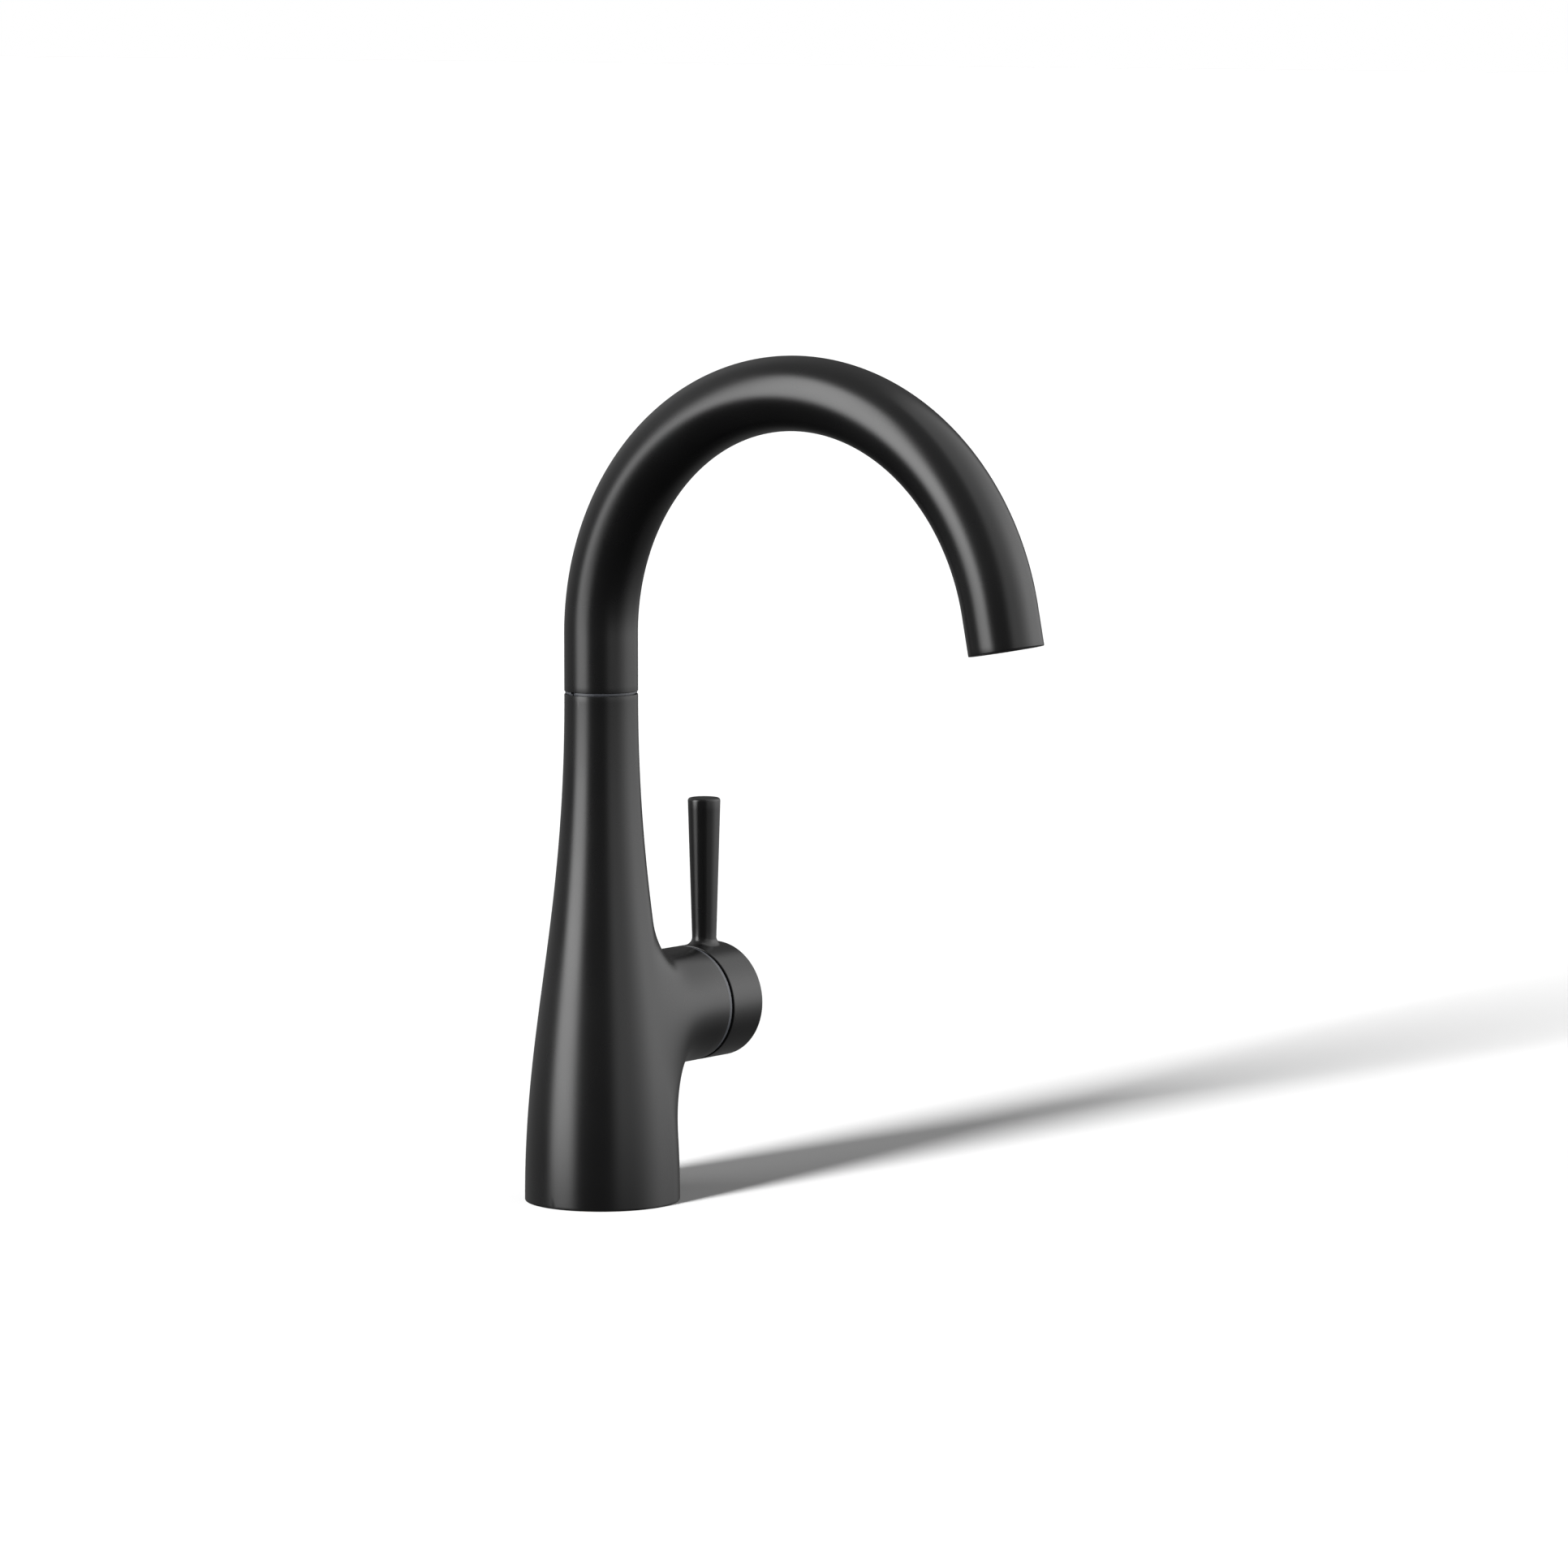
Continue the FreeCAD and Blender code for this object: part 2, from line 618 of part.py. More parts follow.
def spout_tube():
    """The bent tube, rounded at both ends."""
    outside = gooseneck(tube_radius)
    tube = outside.cut(gooseneck(tube_bore_radius))
    lower = circles_at(tube, tube_radius, Vector(0, 0, tube_start), Z_AXIS)
    tube = tube.makeFillet(SEAM_EDGE_ROUND, lower)
    face = at_outlet(Part.Vertex(ORIGIN)).Point
    up_tube = at_outlet(Part.Vertex(Z_AXIS)).Point - face
    return tube.makeFillet(OUTLET_EDGE_ROUND, circles_at(tube, tube_radius, face, up_tube))


def aerator_housing():
    """The sleeve in the spout's end, with a ledge for the insert and key notches for unscrewing."""
    outer = tube_bore_radius - SEATED_CLEARANCE
    inner = outer - AERATOR_WALL
    ledge_top = AERATOR_RECESS + AERATOR_LEDGE_HEIGHT
    top = AERATOR_RECESS + AERATOR_LENGTH
    sleeve = turned(
        (inner - AERATOR_LEDGE, AERATOR_RECESS),
        (outer, AERATOR_RECESS),
        (outer, top),
        (inner, top),
        (inner, ledge_top),
        (inner - AERATOR_LEDGE, ledge_top),
    )
    half = AERATOR_KEY_WIDTH / 2
    keys = []
    for step in range(AERATOR_KEY_COUNT):
        key = block((inner, tube_radius), (-half, half), (0, AERATOR_RECESS + AERATOR_KEY_DEPTH))
        key.rotate(ORIGIN, Z_AXIS, 360 * step / AERATOR_KEY_COUNT)
        keys.append(key)
    return at_outlet(sleeve.cut(keys))


def aerator_insert():
    """The flow straightener: a disc with a close pattern of round cells."""
    radius = tube_bore_radius - SEATED_CLEARANCE - AERATOR_WALL - SEATED_CLEARANCE
    bottom = AERATOR_RECESS + AERATOR_LEDGE_HEIGHT + FILM
    top = bottom + INSERT_LENGTH
    reach = radius - AERATOR_LEDGE - INSERT_RIM - INSERT_CELL / 2
    rows = int(reach / INSERT_PITCH) + 1
    cells = []
    for row in range(-rows, rows + 1):
        for step in range(-rows, rows + 1):
            x = INSERT_PITCH * (step + row / 2)
            y = INSERT_PITCH * row * math.sqrt(3) / 2
            if math.hypot(x, y) <= reach:
                cell = rod(INSERT_CELL / 2, bottom - DRILL_OVERRUN, top + DRILL_OVERRUN)
                cell.translate(Vector(x, y, 0))
                cells.append(cell)
    return at_outlet(rod(radius, bottom, top).cut(cells))


def aerator_washer():
    """The rubber washer between the housing and the tube."""
    outer = tube_bore_radius - SEATED_CLEARANCE
    bottom = AERATOR_RECESS + AERATOR_LENGTH
    top = bottom + AERATOR_WASHER_THICKNESS
    return at_outlet(collar(outer - AERATOR_WASHER_WALL, outer, bottom, top))


def valve_seat_seal():
    """The rubber seal between the seat in the casting and the fixed disc."""
    ring = collar(SEAT_SEAL_BORE / 2, SEAT_SEAL_DIAMETER / 2, SEAT_OFFSET, fixed_disc_start)
    return on_valve_axis(ring)


def disc_ports(middle_angle, start):
    """Two opposite sector openings for a ceramic disc, centred on this angle."""
    ring = collar(DISC_PORT_INNER / 2, DISC_PORT_OUTER / 2, start - DRILL_OVERRUN,
                  start + DISC_THICKNESS + DRILL_OVERRUN)
    ports = []
    for side in (0, 180):
        sector = Part.makeCylinder(disc_radius, DISC_THICKNESS + 4 * DRILL_OVERRUN,
                                   Vector(0, 0, start - 2 * DRILL_OVERRUN), Z_AXIS, DISC_PORT_SPAN)
        sector.rotate(ORIGIN, Z_AXIS, middle_angle + side - DISC_PORT_SPAN / 2)
        ports.append(ring.common(sector))
    return ports


def fixed_disc():
    """The ceramic disc that stays with the housing: its ports lie across the moving disc's at rest."""
    disc = rod(disc_radius, fixed_disc_start, fixed_disc_start + DISC_THICKNESS)
    return on_valve_axis(disc.cut(disc_ports(90, fixed_disc_start)))


def stem_tangs(clearance):
    """The two tangs under the stem's foot, which turn the moving disc."""
    half = STEM_TANG_WIDTH / 2 + clearance
    reach = STEM_FOOT_DIAMETER / 2 + clearance
    inner = DISC_PORT_OUTER / 2 - STEM_TANG_WIDTH / 2 - clearance
    span = (foot_start - STEM_TANG_DEPTH - clearance, foot_start)
    ring = collar(inner, reach, *span)
    sides = [(0, base_radius), (-base_radius, 0)]
    return [ring.common(block((-half, half), side, span)) for side in sides]


def moving_disc():
    """The ceramic disc that turns with the stem, slotted for the stem's tangs."""
    disc = rod(moving_disc_radius, moving_disc_start, moving_disc_end)
    return on_valve_axis(disc.cut(disc_ports(0, moving_disc_start) + stem_tangs(SEATED_CLEARANCE)))


def cartridge_housing():
    """The brass housing: a windowed cage for the discs, a flange and a neck round the stem."""
    blank = turned(
        (cage_radius, SEAT_OFFSET + CAGE_INSET),
        (cartridge_radius, SEAT_OFFSET + CAGE_INSET),
        (cartridge_radius, flange_start),
        (mouth_radius - SEATED_CLEARANCE, flange_start),
        (mouth_radius - SEATED_CLEARANCE, flange_end),
        (NECK_DIAMETER / 2, flange_end),
        (NECK_DIAMETER / 2, neck_end),
        (stem_bore_radius, neck_end),
        (stem_bore_radius, cage_end),
        (cage_radius, cage_end),
    )
    half = WINDOW_WIDTH / 2
    window_end = moving_disc_start + WINDOW_LENGTH
    window = block((-base_radius, base_radius), (-half, half), (moving_disc_start, window_end))
    groove_half = CARTRIDGE_SEAL_WIDTH / 2 + SEATED_CLEARANCE
    groove = collar(
        cartridge_radius - CARTRIDGE_SEAL_GROOVE,
        base_radius,
        cartridge_seal_middle - groove_half,
        cartridge_seal_middle + groove_half,
    )
    return on_valve_axis(blank.cut([window, groove]))


def cartridge_seal():
    """The seal ring between the cartridge and the casting."""
    half = CARTRIDGE_SEAL_WIDTH / 2
    inner = cartridge_radius - CARTRIDGE_SEAL_GROOVE + SEAL_CLEARANCE
    outer = cartridge_bore_radius - SEAL_CLEARANCE
    start = cartridge_seal_middle - half
    return on_valve_axis(collar(inner, outer, start, start + CARTRIDGE_SEAL_WIDTH))


def bonnet_nut():
    """The nut in the stub's mouth that holds the cartridge by its flange."""
    thread_end = flange_end + BONNET_THREAD_LENGTH
    ring = rod(mouth_radius - THREAD_CLEARANCE, flange_end, thread_end)
    head = hexagon(BONNET_HEX, thread_end, thread_end + BONNET_HEX_LENGTH)
    hole = rod(NECK_DIAMETER / 2 + THREAD_CLEARANCE, flange_end - DRILL_OVERRUN,
               thread_end + BONNET_HEX_LENGTH + DRILL_OVERRUN)
    return on_valve_axis(ring.fuse(head).cut(hole))


def handle_glide():
    """The flanged ring in the stub's mouth that keeps the hub's gap even."""
    outer = mouth_radius - SEATED_CLEARANCE
    flange_radius = hub_radius - GLIDE_SETBACK
    return on_valve_axis(turned(
        (outer - GLIDE_WALL, STUB_REACH - GLIDE_SPIGOT_LENGTH),
        (outer, STUB_REACH - GLIDE_SPIGOT_LENGTH),
        (outer, STUB_REACH),
        (flange_radius, STUB_REACH),
        (flange_radius, hub_start - GLIDE_GAP),
        (outer - GLIDE_WALL, hub_start - GLIDE_GAP),
    ))


def stem_seal(offset):
    """A seal ring in its groove on the stem."""
    inner = stem_radius - STEM_SEAL_GROOVE + SEAL_CLEARANCE
    outer = stem_bore_radius - SEAL_CLEARANCE
    half = STEM_SEAL_WIDTH / 2
    return on_valve_axis(collar(inner, outer, offset - half, offset + half))


def stem_groove(depth, start, end):
    """A groove round the stem."""
    return collar(stem_radius - depth, STEM_FOOT_DIAMETER / 2, start, end)


def valve_stem():
    """The stem: a foot with two tangs, a sealed shaft and a flatted spigot for the handle."""
    blank = turned(
        (0, foot_start),
        (STEM_FOOT_DIAMETER / 2, foot_start),
        (STEM_FOOT_DIAMETER / 2, foot_end),
        (stem_radius, foot_end),
        (stem_radius, spigot_start),
        (spigot_radius, spigot_start),
        (spigot_radius, spigot_end),
        (0, spigot_end),
    )
    flat = block((SPIGOT_FLAT, stem_radius), (-stem_radius, stem_radius), (spigot_start, spigot_end))
    half = STEM_SEAL_WIDTH / 2 + SEATED_CLEARANCE
    grooves = [
        stem_groove(STEM_SEAL_GROOVE, inner_seal_middle - half, inner_seal_middle + half),
        stem_groove(STEM_SEAL_GROOVE, outer_seal_middle - half, outer_seal_middle + half),
        stem_groove(STEM_CLIP_GROOVE, neck_end + FILM, neck_end + STEM_CLIP_THICKNESS + 3 * FILM),
    ]
    return on_valve_axis(blank.cut([flat] + grooves).fuse(stem_tangs(0)))


def stem_thrust_washer():
    """The slip washer between the stem's foot and the housing's shoulder."""
    inner = stem_radius + SEATED_CLEARANCE
    return on_valve_axis(collar(inner, THRUST_WASHER_DIAMETER / 2, foot_end + FILM, thrust_end))


def stem_clip():
    """The open clip that keeps the stem in the housing."""
    start = neck_end + 2 * FILM
    end = start + STEM_CLIP_THICKNESS
    ring = collar(stem_radius - STEM_CLIP_GROOVE + SEATED_CLEARANCE, STEM_CLIP_DIAMETER / 2, start, end)
    half = STEM_CLIP_OPENING / 2
    return on_valve_axis(ring.cut(block((0, STEM_CLIP_DIAMETER), (-half, half), (start, end))))


def lever_blank():
    """The tapered lever with its rounded rim and dished top, standing on the hub's axis."""
    root = VALVE_HEIGHT + hub_radius
    slope = (LEVER_TOP_DIAMETER - LEVER_ROOT_DIAMETER) / 2 / (LEVER_TOP - root)
    low_radius = LEVER_ROOT_DIAMETER / 2 - slope * hub_radius
    top_radius = LEVER_TOP_DIAMETER / 2
    foot = Vector(0, 0, VALVE_HEIGHT)
    lever = Part.makeCone(low_radius, top_radius, LEVER_TOP - VALVE_HEIGHT, foot)
    rim = circles_at(lever, top_radius, Vector(0, 0, LEVER_TOP), Z_AXIS)
    lever = lever.makeFillet(LEVER_RIM_ROUND, rim)
    half = LEVER_DISH_DIAMETER / 2
    ball_radius = (half * half + LEVER_DISH_DEPTH * LEVER_DISH_DEPTH) / (2 * LEVER_DISH_DEPTH)
    dish = Part.makeSphere(ball_radius, Vector(0, 0, LEVER_TOP - LEVER_DISH_DEPTH + ball_radius))
    lever = lever.cut(dish)
    lever.translate(Vector(lever_offset, 0, 0))
    return lever


def handle_outside():
    """The hub and the lever as one blended solid."""
    hub = on_valve_axis(rod(hub_radius, hub_start, hub_end))
    joined = hub.fuse(lever_blank())
    hub_crown = VALVE_HEIGHT + hub_radius
    root = []
    for edge in joined.Edges:
        box = edge.BoundBox
        beside_lever = abs(box.Center.x - lever_offset) < 1 and box.XLength < LEVER_TOP_DIAMETER
        on_crown = VALVE_HEIGHT + hub_radius / 2 < box.ZMin and box.ZMax < hub_crown + 1
        if beside_lever and on_crown and box.YLength > 1:
            root.append(edge)
    blended = joined.makeFillet(LEVER_ROOT_ROUND, root)
    inner_face = Vector(hub_start, 0, VALVE_HEIGHT)
    blended = blended.makeFillet(HUB_INNER_ROUND, circles_at(blended, hub_radius, inner_face, X_AXIS))
    outer_face = Vector(hub_end, 0, VALVE_HEIGHT)
    return blended.makeFillet(HUB_OUTER_ROUND, circles_at(blended, hub_radius, outer_face, X_AXIS))


def across_hub(shape):
    """Turns a shape made about Z so that it runs down from the valve axis through the set screw."""
    placed = shape.copy()
    placed.rotate(ORIGIN, X_AXIS, 180)
    placed.translate(Vector(set_screw_offset, 0, VALVE_HEIGHT))
    return placed


def handle():
    """The handle: hollow hub, boss on the stem, set screw pillar and lever in one piece."""
    boss = BOSS_DIAMETER / 2
    mouth = hub_start - DRILL_OVERRUN
    hollow = collar(boss, hub_radius - HUB_WALL, mouth, hub_floor)
    recess = rod(boss + DRILL_OVERRUN, mouth, hub_start + BOSS_RECESS)
    hub = handle_outside().cut([on_valve_axis(hollow), on_valve_axis(recess)])
    pillar = across_hub(rod(set_screw_radius + PILLAR_WALL, spigot_radius, hub_radius - HUB_WALL / 2))
    bore_radius = spigot_radius + SEATED_CLEARANCE
    bore_span = (mouth, spigot_end + SEATED_CLEARANCE)
    flat_side = block((SPIGOT_FLAT + SEATED_CLEARANCE, hub_radius), (-hub_radius, hub_radius), bore_span)
    bore = on_valve_axis(rod(bore_radius, *bore_span).cut(flat_side))
    thread = across_hub(rod(set_screw_radius + SEATED_CLEARANCE, 0, plug_floor + DRILL_OVERRUN))
    plug_hole = across_hub(rod(plug_radius + SEATED_CLEARANCE, plug_floor, hub_radius + DRILL_OVERRUN))
    return hub.fuse(pillar).cut([bore, thread, plug_hole])


def handle_set_screw():
    """The grub screw that grips the stem's flat."""
    screw = rod(set_screw_radius, set_screw_start, set_screw_end)
    socket = hexagon(SET_SCREW_HEX, set_screw_end - SET_SCREW_SOCKET, set_screw_end + DRILL_OVERRUN)
    return across_hub(screw.cut(socket))


def set_screw_plug():
    """The plug over the set screw, flush with the hub."""
    blank = across_hub(rod(plug_radius, plug_floor, hub_radius + DRILL_OVERRUN))
    return blank.common(on_valve_axis(rod(hub_radius, hub_start, hub_end)))


def swivel_seal_upper():
    """The upper seal ring on the ferrule."""
    return swivel_seal(UPPER_SEAL_DROP)


def swivel_seal_lower():
    """The lower seal ring on the ferrule."""
    return swivel_seal(LOWER_SEAL_DROP)


def stem_seal_inner():
    """The inner seal ring on the stem."""
    return stem_seal(inner_seal_middle)


def stem_seal_outer():
    """The outer seal ring on the stem."""
    return stem_seal(outer_seal_middle)


FIXED_PIECES = [
    body_casting,
    base_gasket,
    mounting_shank,
    shank_seal,
    deck_rubber_washer,
    deck_steel_washer,
    mounting_nut,
    spout_bearing,
    valve_seat_seal,
    fixed_disc,
    cartridge_housing,
    cartridge_seal,
    bonnet_nut,
    handle_glide,
]
SPOUT_PIECES = [
    spout_tube,
    spout_ferrule,
    swivel_seal_upper,
    swivel_seal_lower,
    spout_snap_ring,
    aerator_housing,
    aerator_insert,
    aerator_washer,
]
HANDLE_PIECES = [
    handle,
    valve_stem,
    moving_disc,
    stem_seal_inner,
    stem_seal_outer,
    stem_thrust_washer,
    stem_clip,
    handle_set_screw,
    set_screw_plug,
]

os.makedirs("parts", exist_ok=True)
for piece in FIXED_PIECES + SPOUT_PIECES + HANDLE_PIECES:
    shape = piece()
    box = shape.BoundBox
    print(piece.__name__, shape.isValid(), len(shape.Solids), round(shape.Volume, 1),
          [round(v, 2) for v in (box.XMin, box.XMax, box.YMin, box.YMax, box.ZMin, box.ZMax)])
    shape.exportStep("parts/" + piece.__name__ + ".step")
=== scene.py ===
"""Looks of a deck-mounted beverage faucet: coated casting, gooseneck, lever and the fittings inside.

Everything is in metres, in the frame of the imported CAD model: +Z up the body, -Y along the spout's
reach and +X along the valve towards the handle.
"""

import json
import logging
import math
from collections.abc import Callable, Sequence
from dataclasses import dataclass
from enum import Enum

import bmesh
import bpy
from bmesh.types import BMesh, BMVert
from bpy.types import Material, Node, NodeSocket, Object, World
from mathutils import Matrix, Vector


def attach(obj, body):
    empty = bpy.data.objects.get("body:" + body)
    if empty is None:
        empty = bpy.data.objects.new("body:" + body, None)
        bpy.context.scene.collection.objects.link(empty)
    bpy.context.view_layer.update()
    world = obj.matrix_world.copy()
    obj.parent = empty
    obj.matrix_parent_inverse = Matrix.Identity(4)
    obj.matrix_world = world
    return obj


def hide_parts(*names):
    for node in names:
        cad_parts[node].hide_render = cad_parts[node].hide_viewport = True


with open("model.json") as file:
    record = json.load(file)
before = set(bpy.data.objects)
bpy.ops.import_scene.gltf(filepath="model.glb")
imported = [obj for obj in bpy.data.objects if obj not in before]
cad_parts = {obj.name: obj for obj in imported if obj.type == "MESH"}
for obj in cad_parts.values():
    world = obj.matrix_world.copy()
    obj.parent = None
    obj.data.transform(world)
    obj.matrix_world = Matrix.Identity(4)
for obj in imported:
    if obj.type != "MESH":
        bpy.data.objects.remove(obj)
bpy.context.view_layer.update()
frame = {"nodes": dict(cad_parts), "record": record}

MM = 0.001
FULL_TURN = 2 * math.pi
MERGE_DISTANCE = 0.001 * MM
SHARP_ANGLE = math.radians(28)
ARC_STEPS = 6
PATTERN_LOW = 0.3
PATTERN_HIGH = 0.7
WHITE = (1.0, 1.0, 1.0, 1.0)

TUBE_RADIUS = 11.20 * MM
VALVE_HEIGHT = 55.90 * MM

X_AXIS = Vector((1, 0, 0))
Y_AXIS = Vector((0, 1, 0))
Z_AXIS = Vector((0, 0, 1))

log = logging.getLogger("beverage_faucet")


class Slot(Enum):
    """The record's material slots."""

    COATING = "black_coating"
    RUBBER = "black_rubber"
    BRASS = "brass"
    STEEL = "steel"
    BLACK_PLASTIC = "black_plastic"
    GREY_PLASTIC = "grey_plastic"
    WHITE_PLASTIC = "white_plastic"
    CERAMIC = "disc_ceramic"


class Body(Enum):
    """The bodies that move on each other."""

    FIXED = "body"
    SPOUT = "spout"
    HANDLE = "handle"


# Kinds of values, and ways to place points

Profile = list[tuple[float, float]]
Sheet = list[tuple[float, float]]
Colour = tuple[float, float, float]


@dataclass(frozen=True)
class Axis:
    """A line that shapes are turned about, with the two directions across it that angles start from."""

    origin: Vector
    along: Vector
    across: Vector
    over: Vector

    def at(self, radius: float, angle: float, distance: float) -> Vector:
        """Gives a point by its radius, its angle from the first direction and its distance along."""
        spoke = self.across * math.cos(angle) + self.over * math.sin(angle)
        return self.origin + self.along * distance + spoke * radius

    def angle_of(self, point: Vector) -> float:
        """Gives a point's angle about the line."""
        offset = point - self.origin
        return math.atan2(offset.dot(self.over), offset.dot(self.across))

    def distance_of(self, point: Vector) -> float:
        """Gives a point's distance along the line."""
        return (point - self.origin).dot(self.along)


# The body's axis has angles from +X towards +Y, the valve's from the top towards the front
BODY_AXIS = Axis(Vector(), Z_AXIS, X_AXIS, Y_AXIS)
VALVE_AXIS = Axis(Vector((0, 0, VALVE_HEIGHT)), X_AXIS, Z_AXIS, -Y_AXIS)


def spaced(first: float, last: float, steps: int) -> list[float]:
    """Gives values at even steps from a first to a last, both included."""
    return [first + (last - first) * step / steps for step in range(steps + 1)]


def shares(steps: int) -> list[float]:
    """Gives the share of a run that is done after each of a number of steps."""
    return spaced(0.0, 1.0, steps)[1:]


def round_turns(count: int) -> list[float]:
    """Gives angles spread evenly over a full turn, from 0."""
    return spaced(0.0, FULL_TURN, count)[:-1]


def border_turns(half_steps: int, side_steps: int) -> list[float]:
    """Gives an angle for each point of a sheet's border, spread evenly over a full turn."""
    return round_turns(4 * half_steps + 2 * side_steps)


def rounded(radius: float, end: float, size: float, way: int = 1) -> Profile:
    """Rounds the outer edge of a turned shape.

    Args:
        radius: The shape's radius.
        end: The shape's end, as a distance along its axis.
        size: The rounding's own radius.
        way: 1 if the shape ends in the axis's direction, or -1 if it ends in the other.

    Returns:
        The profile's points from the shape's side to its end.
    """
    depth = way * size
    return [
        (radius - size + size * math.cos(angle), end - depth + depth * math.sin(angle))
        for angle in spaced(0.0, math.pi / 2, ARC_STEPS)
    ]


def bezier(poles: Sequence[Vector], share: float) -> Vector:
    """Gives the point of a cubic curve of four poles at a share of its run."""
    left = 1 - share
    return (
        poles[0] * left**3
        + poles[1] * (3 * left * left * share)
        + poles[2] * (3 * left * share * share)
        + poles[3] * share**3
    )


# Ways to grow a mesh from a ring

def closed_loop(bm: BMesh, places: Sequence[Vector]) -> list[BMVert]:
    """Starts a mesh with a ring of edges.

    Args:
        bm: The mesh.
        places: Where the ring's vertices go, in order.

    Returns:
        The ring's vertices, in order.
    """
    loop = list(bmesh.ops.create_circle(bm, segments=len(places), radius=MM)["verts"])
    for vert, place in zip(loop, places):
        vert.co = place
    return loop


def loop_edges(bm: BMesh, loop: Sequence[BMVert]) -> list[bmesh.types.BMEdge]:
    """Gives the edges round a ring of vertices."""
    return [bm.edges.get(pair) for pair in zip(loop, [*loop[1:], loop[0]])]


def grow(bm: BMesh, loop: Sequence[BMVert], places: Sequence[Vector]) -> list[BMVert]:
    """Extrudes a ring by one band of faces.

    Args:
        bm: The mesh.
        loop: The ring's vertices, in order.
        places: Where the new ring's vertices go, in the same order.

    Returns:
        The new ring's vertices, in the same order.
    """
    made = bmesh.ops.extrude_edge_only(bm, edges=loop_edges(bm, loop))["geom"]
    fresh = {item for item in made if isinstance(item, BMVert)}
    grown = []
    for vert, place in zip(loop, places):
        partner = next(e.other_vert(vert) for e in vert.link_edges if e.other_vert(vert) in fresh)
        partner.co = place
        grown.append(partner)
    return grown


def grow_round(bm: BMesh, loop: Sequence[BMVert], axis: Axis, profile: Profile) -> list[BMVert]:
    """Extrudes a ring through a turned profile.

    Args:
        bm: The mesh.
        loop: The ring's vertices, in order.
        axis: The line that the profile is turned about.
        profile: Radius and distance along the axis of each new ring.

    Returns:
        The last ring's vertices, in the same order.
    """
    angles = [axis.angle_of(vert.co) for vert in loop]
    for radius, distance in profile:
        loop = grow(bm, loop, [axis.at(radius, angle, distance) for angle in angles])
    return list(loop)


def close(bm: BMesh, loop: Sequence[BMVert]) -> None:
    """Closes a ring with one flat face."""
    bmesh.ops.contextual_create(bm, geom=loop_edges(bm, loop))


def rim_at(bm: BMesh, axis: Axis, distance: float) -> list[BMVert]:
    """Finds an open ring round an axis.

    Args:
        bm: The mesh.
        axis: The line that the ring goes round.
        distance: The ring's distance along the axis.

    Returns:
        The ring's vertices, in order of their angle.
    """
    rim = {vert for edge in bm.edges if edge.is_boundary for vert in edge.verts}
    ring = [vert for vert in rim if abs(axis.distance_of(vert.co) - distance) < MERGE_DISTANCE]
    return sorted(ring, key=lambda vert: axis.angle_of(vert.co))


def sheet_border(half_steps: int, side_steps: int, width: float, low: float, high: float) -> Sheet:
    """Walks round a rectangle of an unrolled surface, from the middle of its low side.

    Args:
        half_steps: Steps along half of the low or the high side.
        side_steps: Steps along each of the other two sides.
        width: The rectangle's half width, as an angle about the surface's axis.
        low: The low side's distance along the axis.
        high: The high side's distance along the axis.

    Returns:
        Angle and distance of each point, once round.
    """
    across = spaced(0.0, width, half_steps)
    right = [(angle, low) for angle in across[:-1]]
    right += [(width, distance) for distance in spaced(low, high, side_steps)[:-1]]
    right += [(angle, high) for angle in reversed(across[1:])]
    return right + [(0.0, high)] + [(-angle, distance) for angle, distance in reversed(right[1:])]


def grow_sheet(
    bm: BMesh,
    loop: Sequence[BMVert],
    inner: Sheet,
    outer: Sheet,
    steps: int,
    surface: Callable[[float, float], Vector],
) -> None:
    """Extrudes a ring over a surface until it reaches a border.

    Args:
        bm: The mesh.
        loop: The ring's vertices, in order.
        inner: Angle and distance of the ring's vertices on the unrolled surface.
        outer: Angle and distance of the border's points, in the same order.
        steps: The number of bands.
        surface: Gives the point at an angle and a distance.
    """
    for share in shares(steps):
        places = [
            surface(a + (c - a) * share, b + (d - b) * share) for (a, b), (c, d) in zip(inner, outer)
        ]
        loop = grow(bm, loop, places)


def merge(bm: BMesh) -> None:
    """Joins the vertices that lie on each other."""
    bmesh.ops.remove_doubles(bm, verts=bm.verts, dist=MERGE_DISTANCE)


# Node trees

def fill(node: Node, **values: object) -> None:
    """Sets a node's sockets, with _ for each blank in a socket's name."""
    for name, value in values.items():
        node.inputs[name.replace("_", " ")].default_value = value


class NodeTree:
    """The nodes of a material or a world, with short ways to add them."""

    def __init__(self, owner: Material | World) -> None:
        """Starts from the nodes that the material or the world has."""
        owner.use_nodes = True
        self.nodes = owner.node_tree.nodes
        self.links = owner.node_tree.links

    def add(self, kind: str, **settings: object) -> Node:
        """Adds a node.

        Args:
            kind: The node's type.
            settings: Properties to set on it.

        Returns:
            The node.
        """
        node = self.nodes.new(kind)
        for name, value in settings.items():
            setattr(node, name, value)
        return node

    def mix(self, share: NodeSocket, first: Node, second: Node, output: str) -> None:
        """Shows a mix of two shaders.

        Args:
            share: 0 for the first shader alone and 1 for the second.
            first: The first shader.
            second: The second shader.
            output: The name of the tree's output node.
        """
        mix = self.add("ShaderNodeMixShader")
        for socket, value in zip(mix.inputs, (share, first.outputs[0], second.outputs[0])):
            self.links.new(value, socket)
        self.links.new(mix.outputs[0], self.nodes[output].inputs["Surface"])


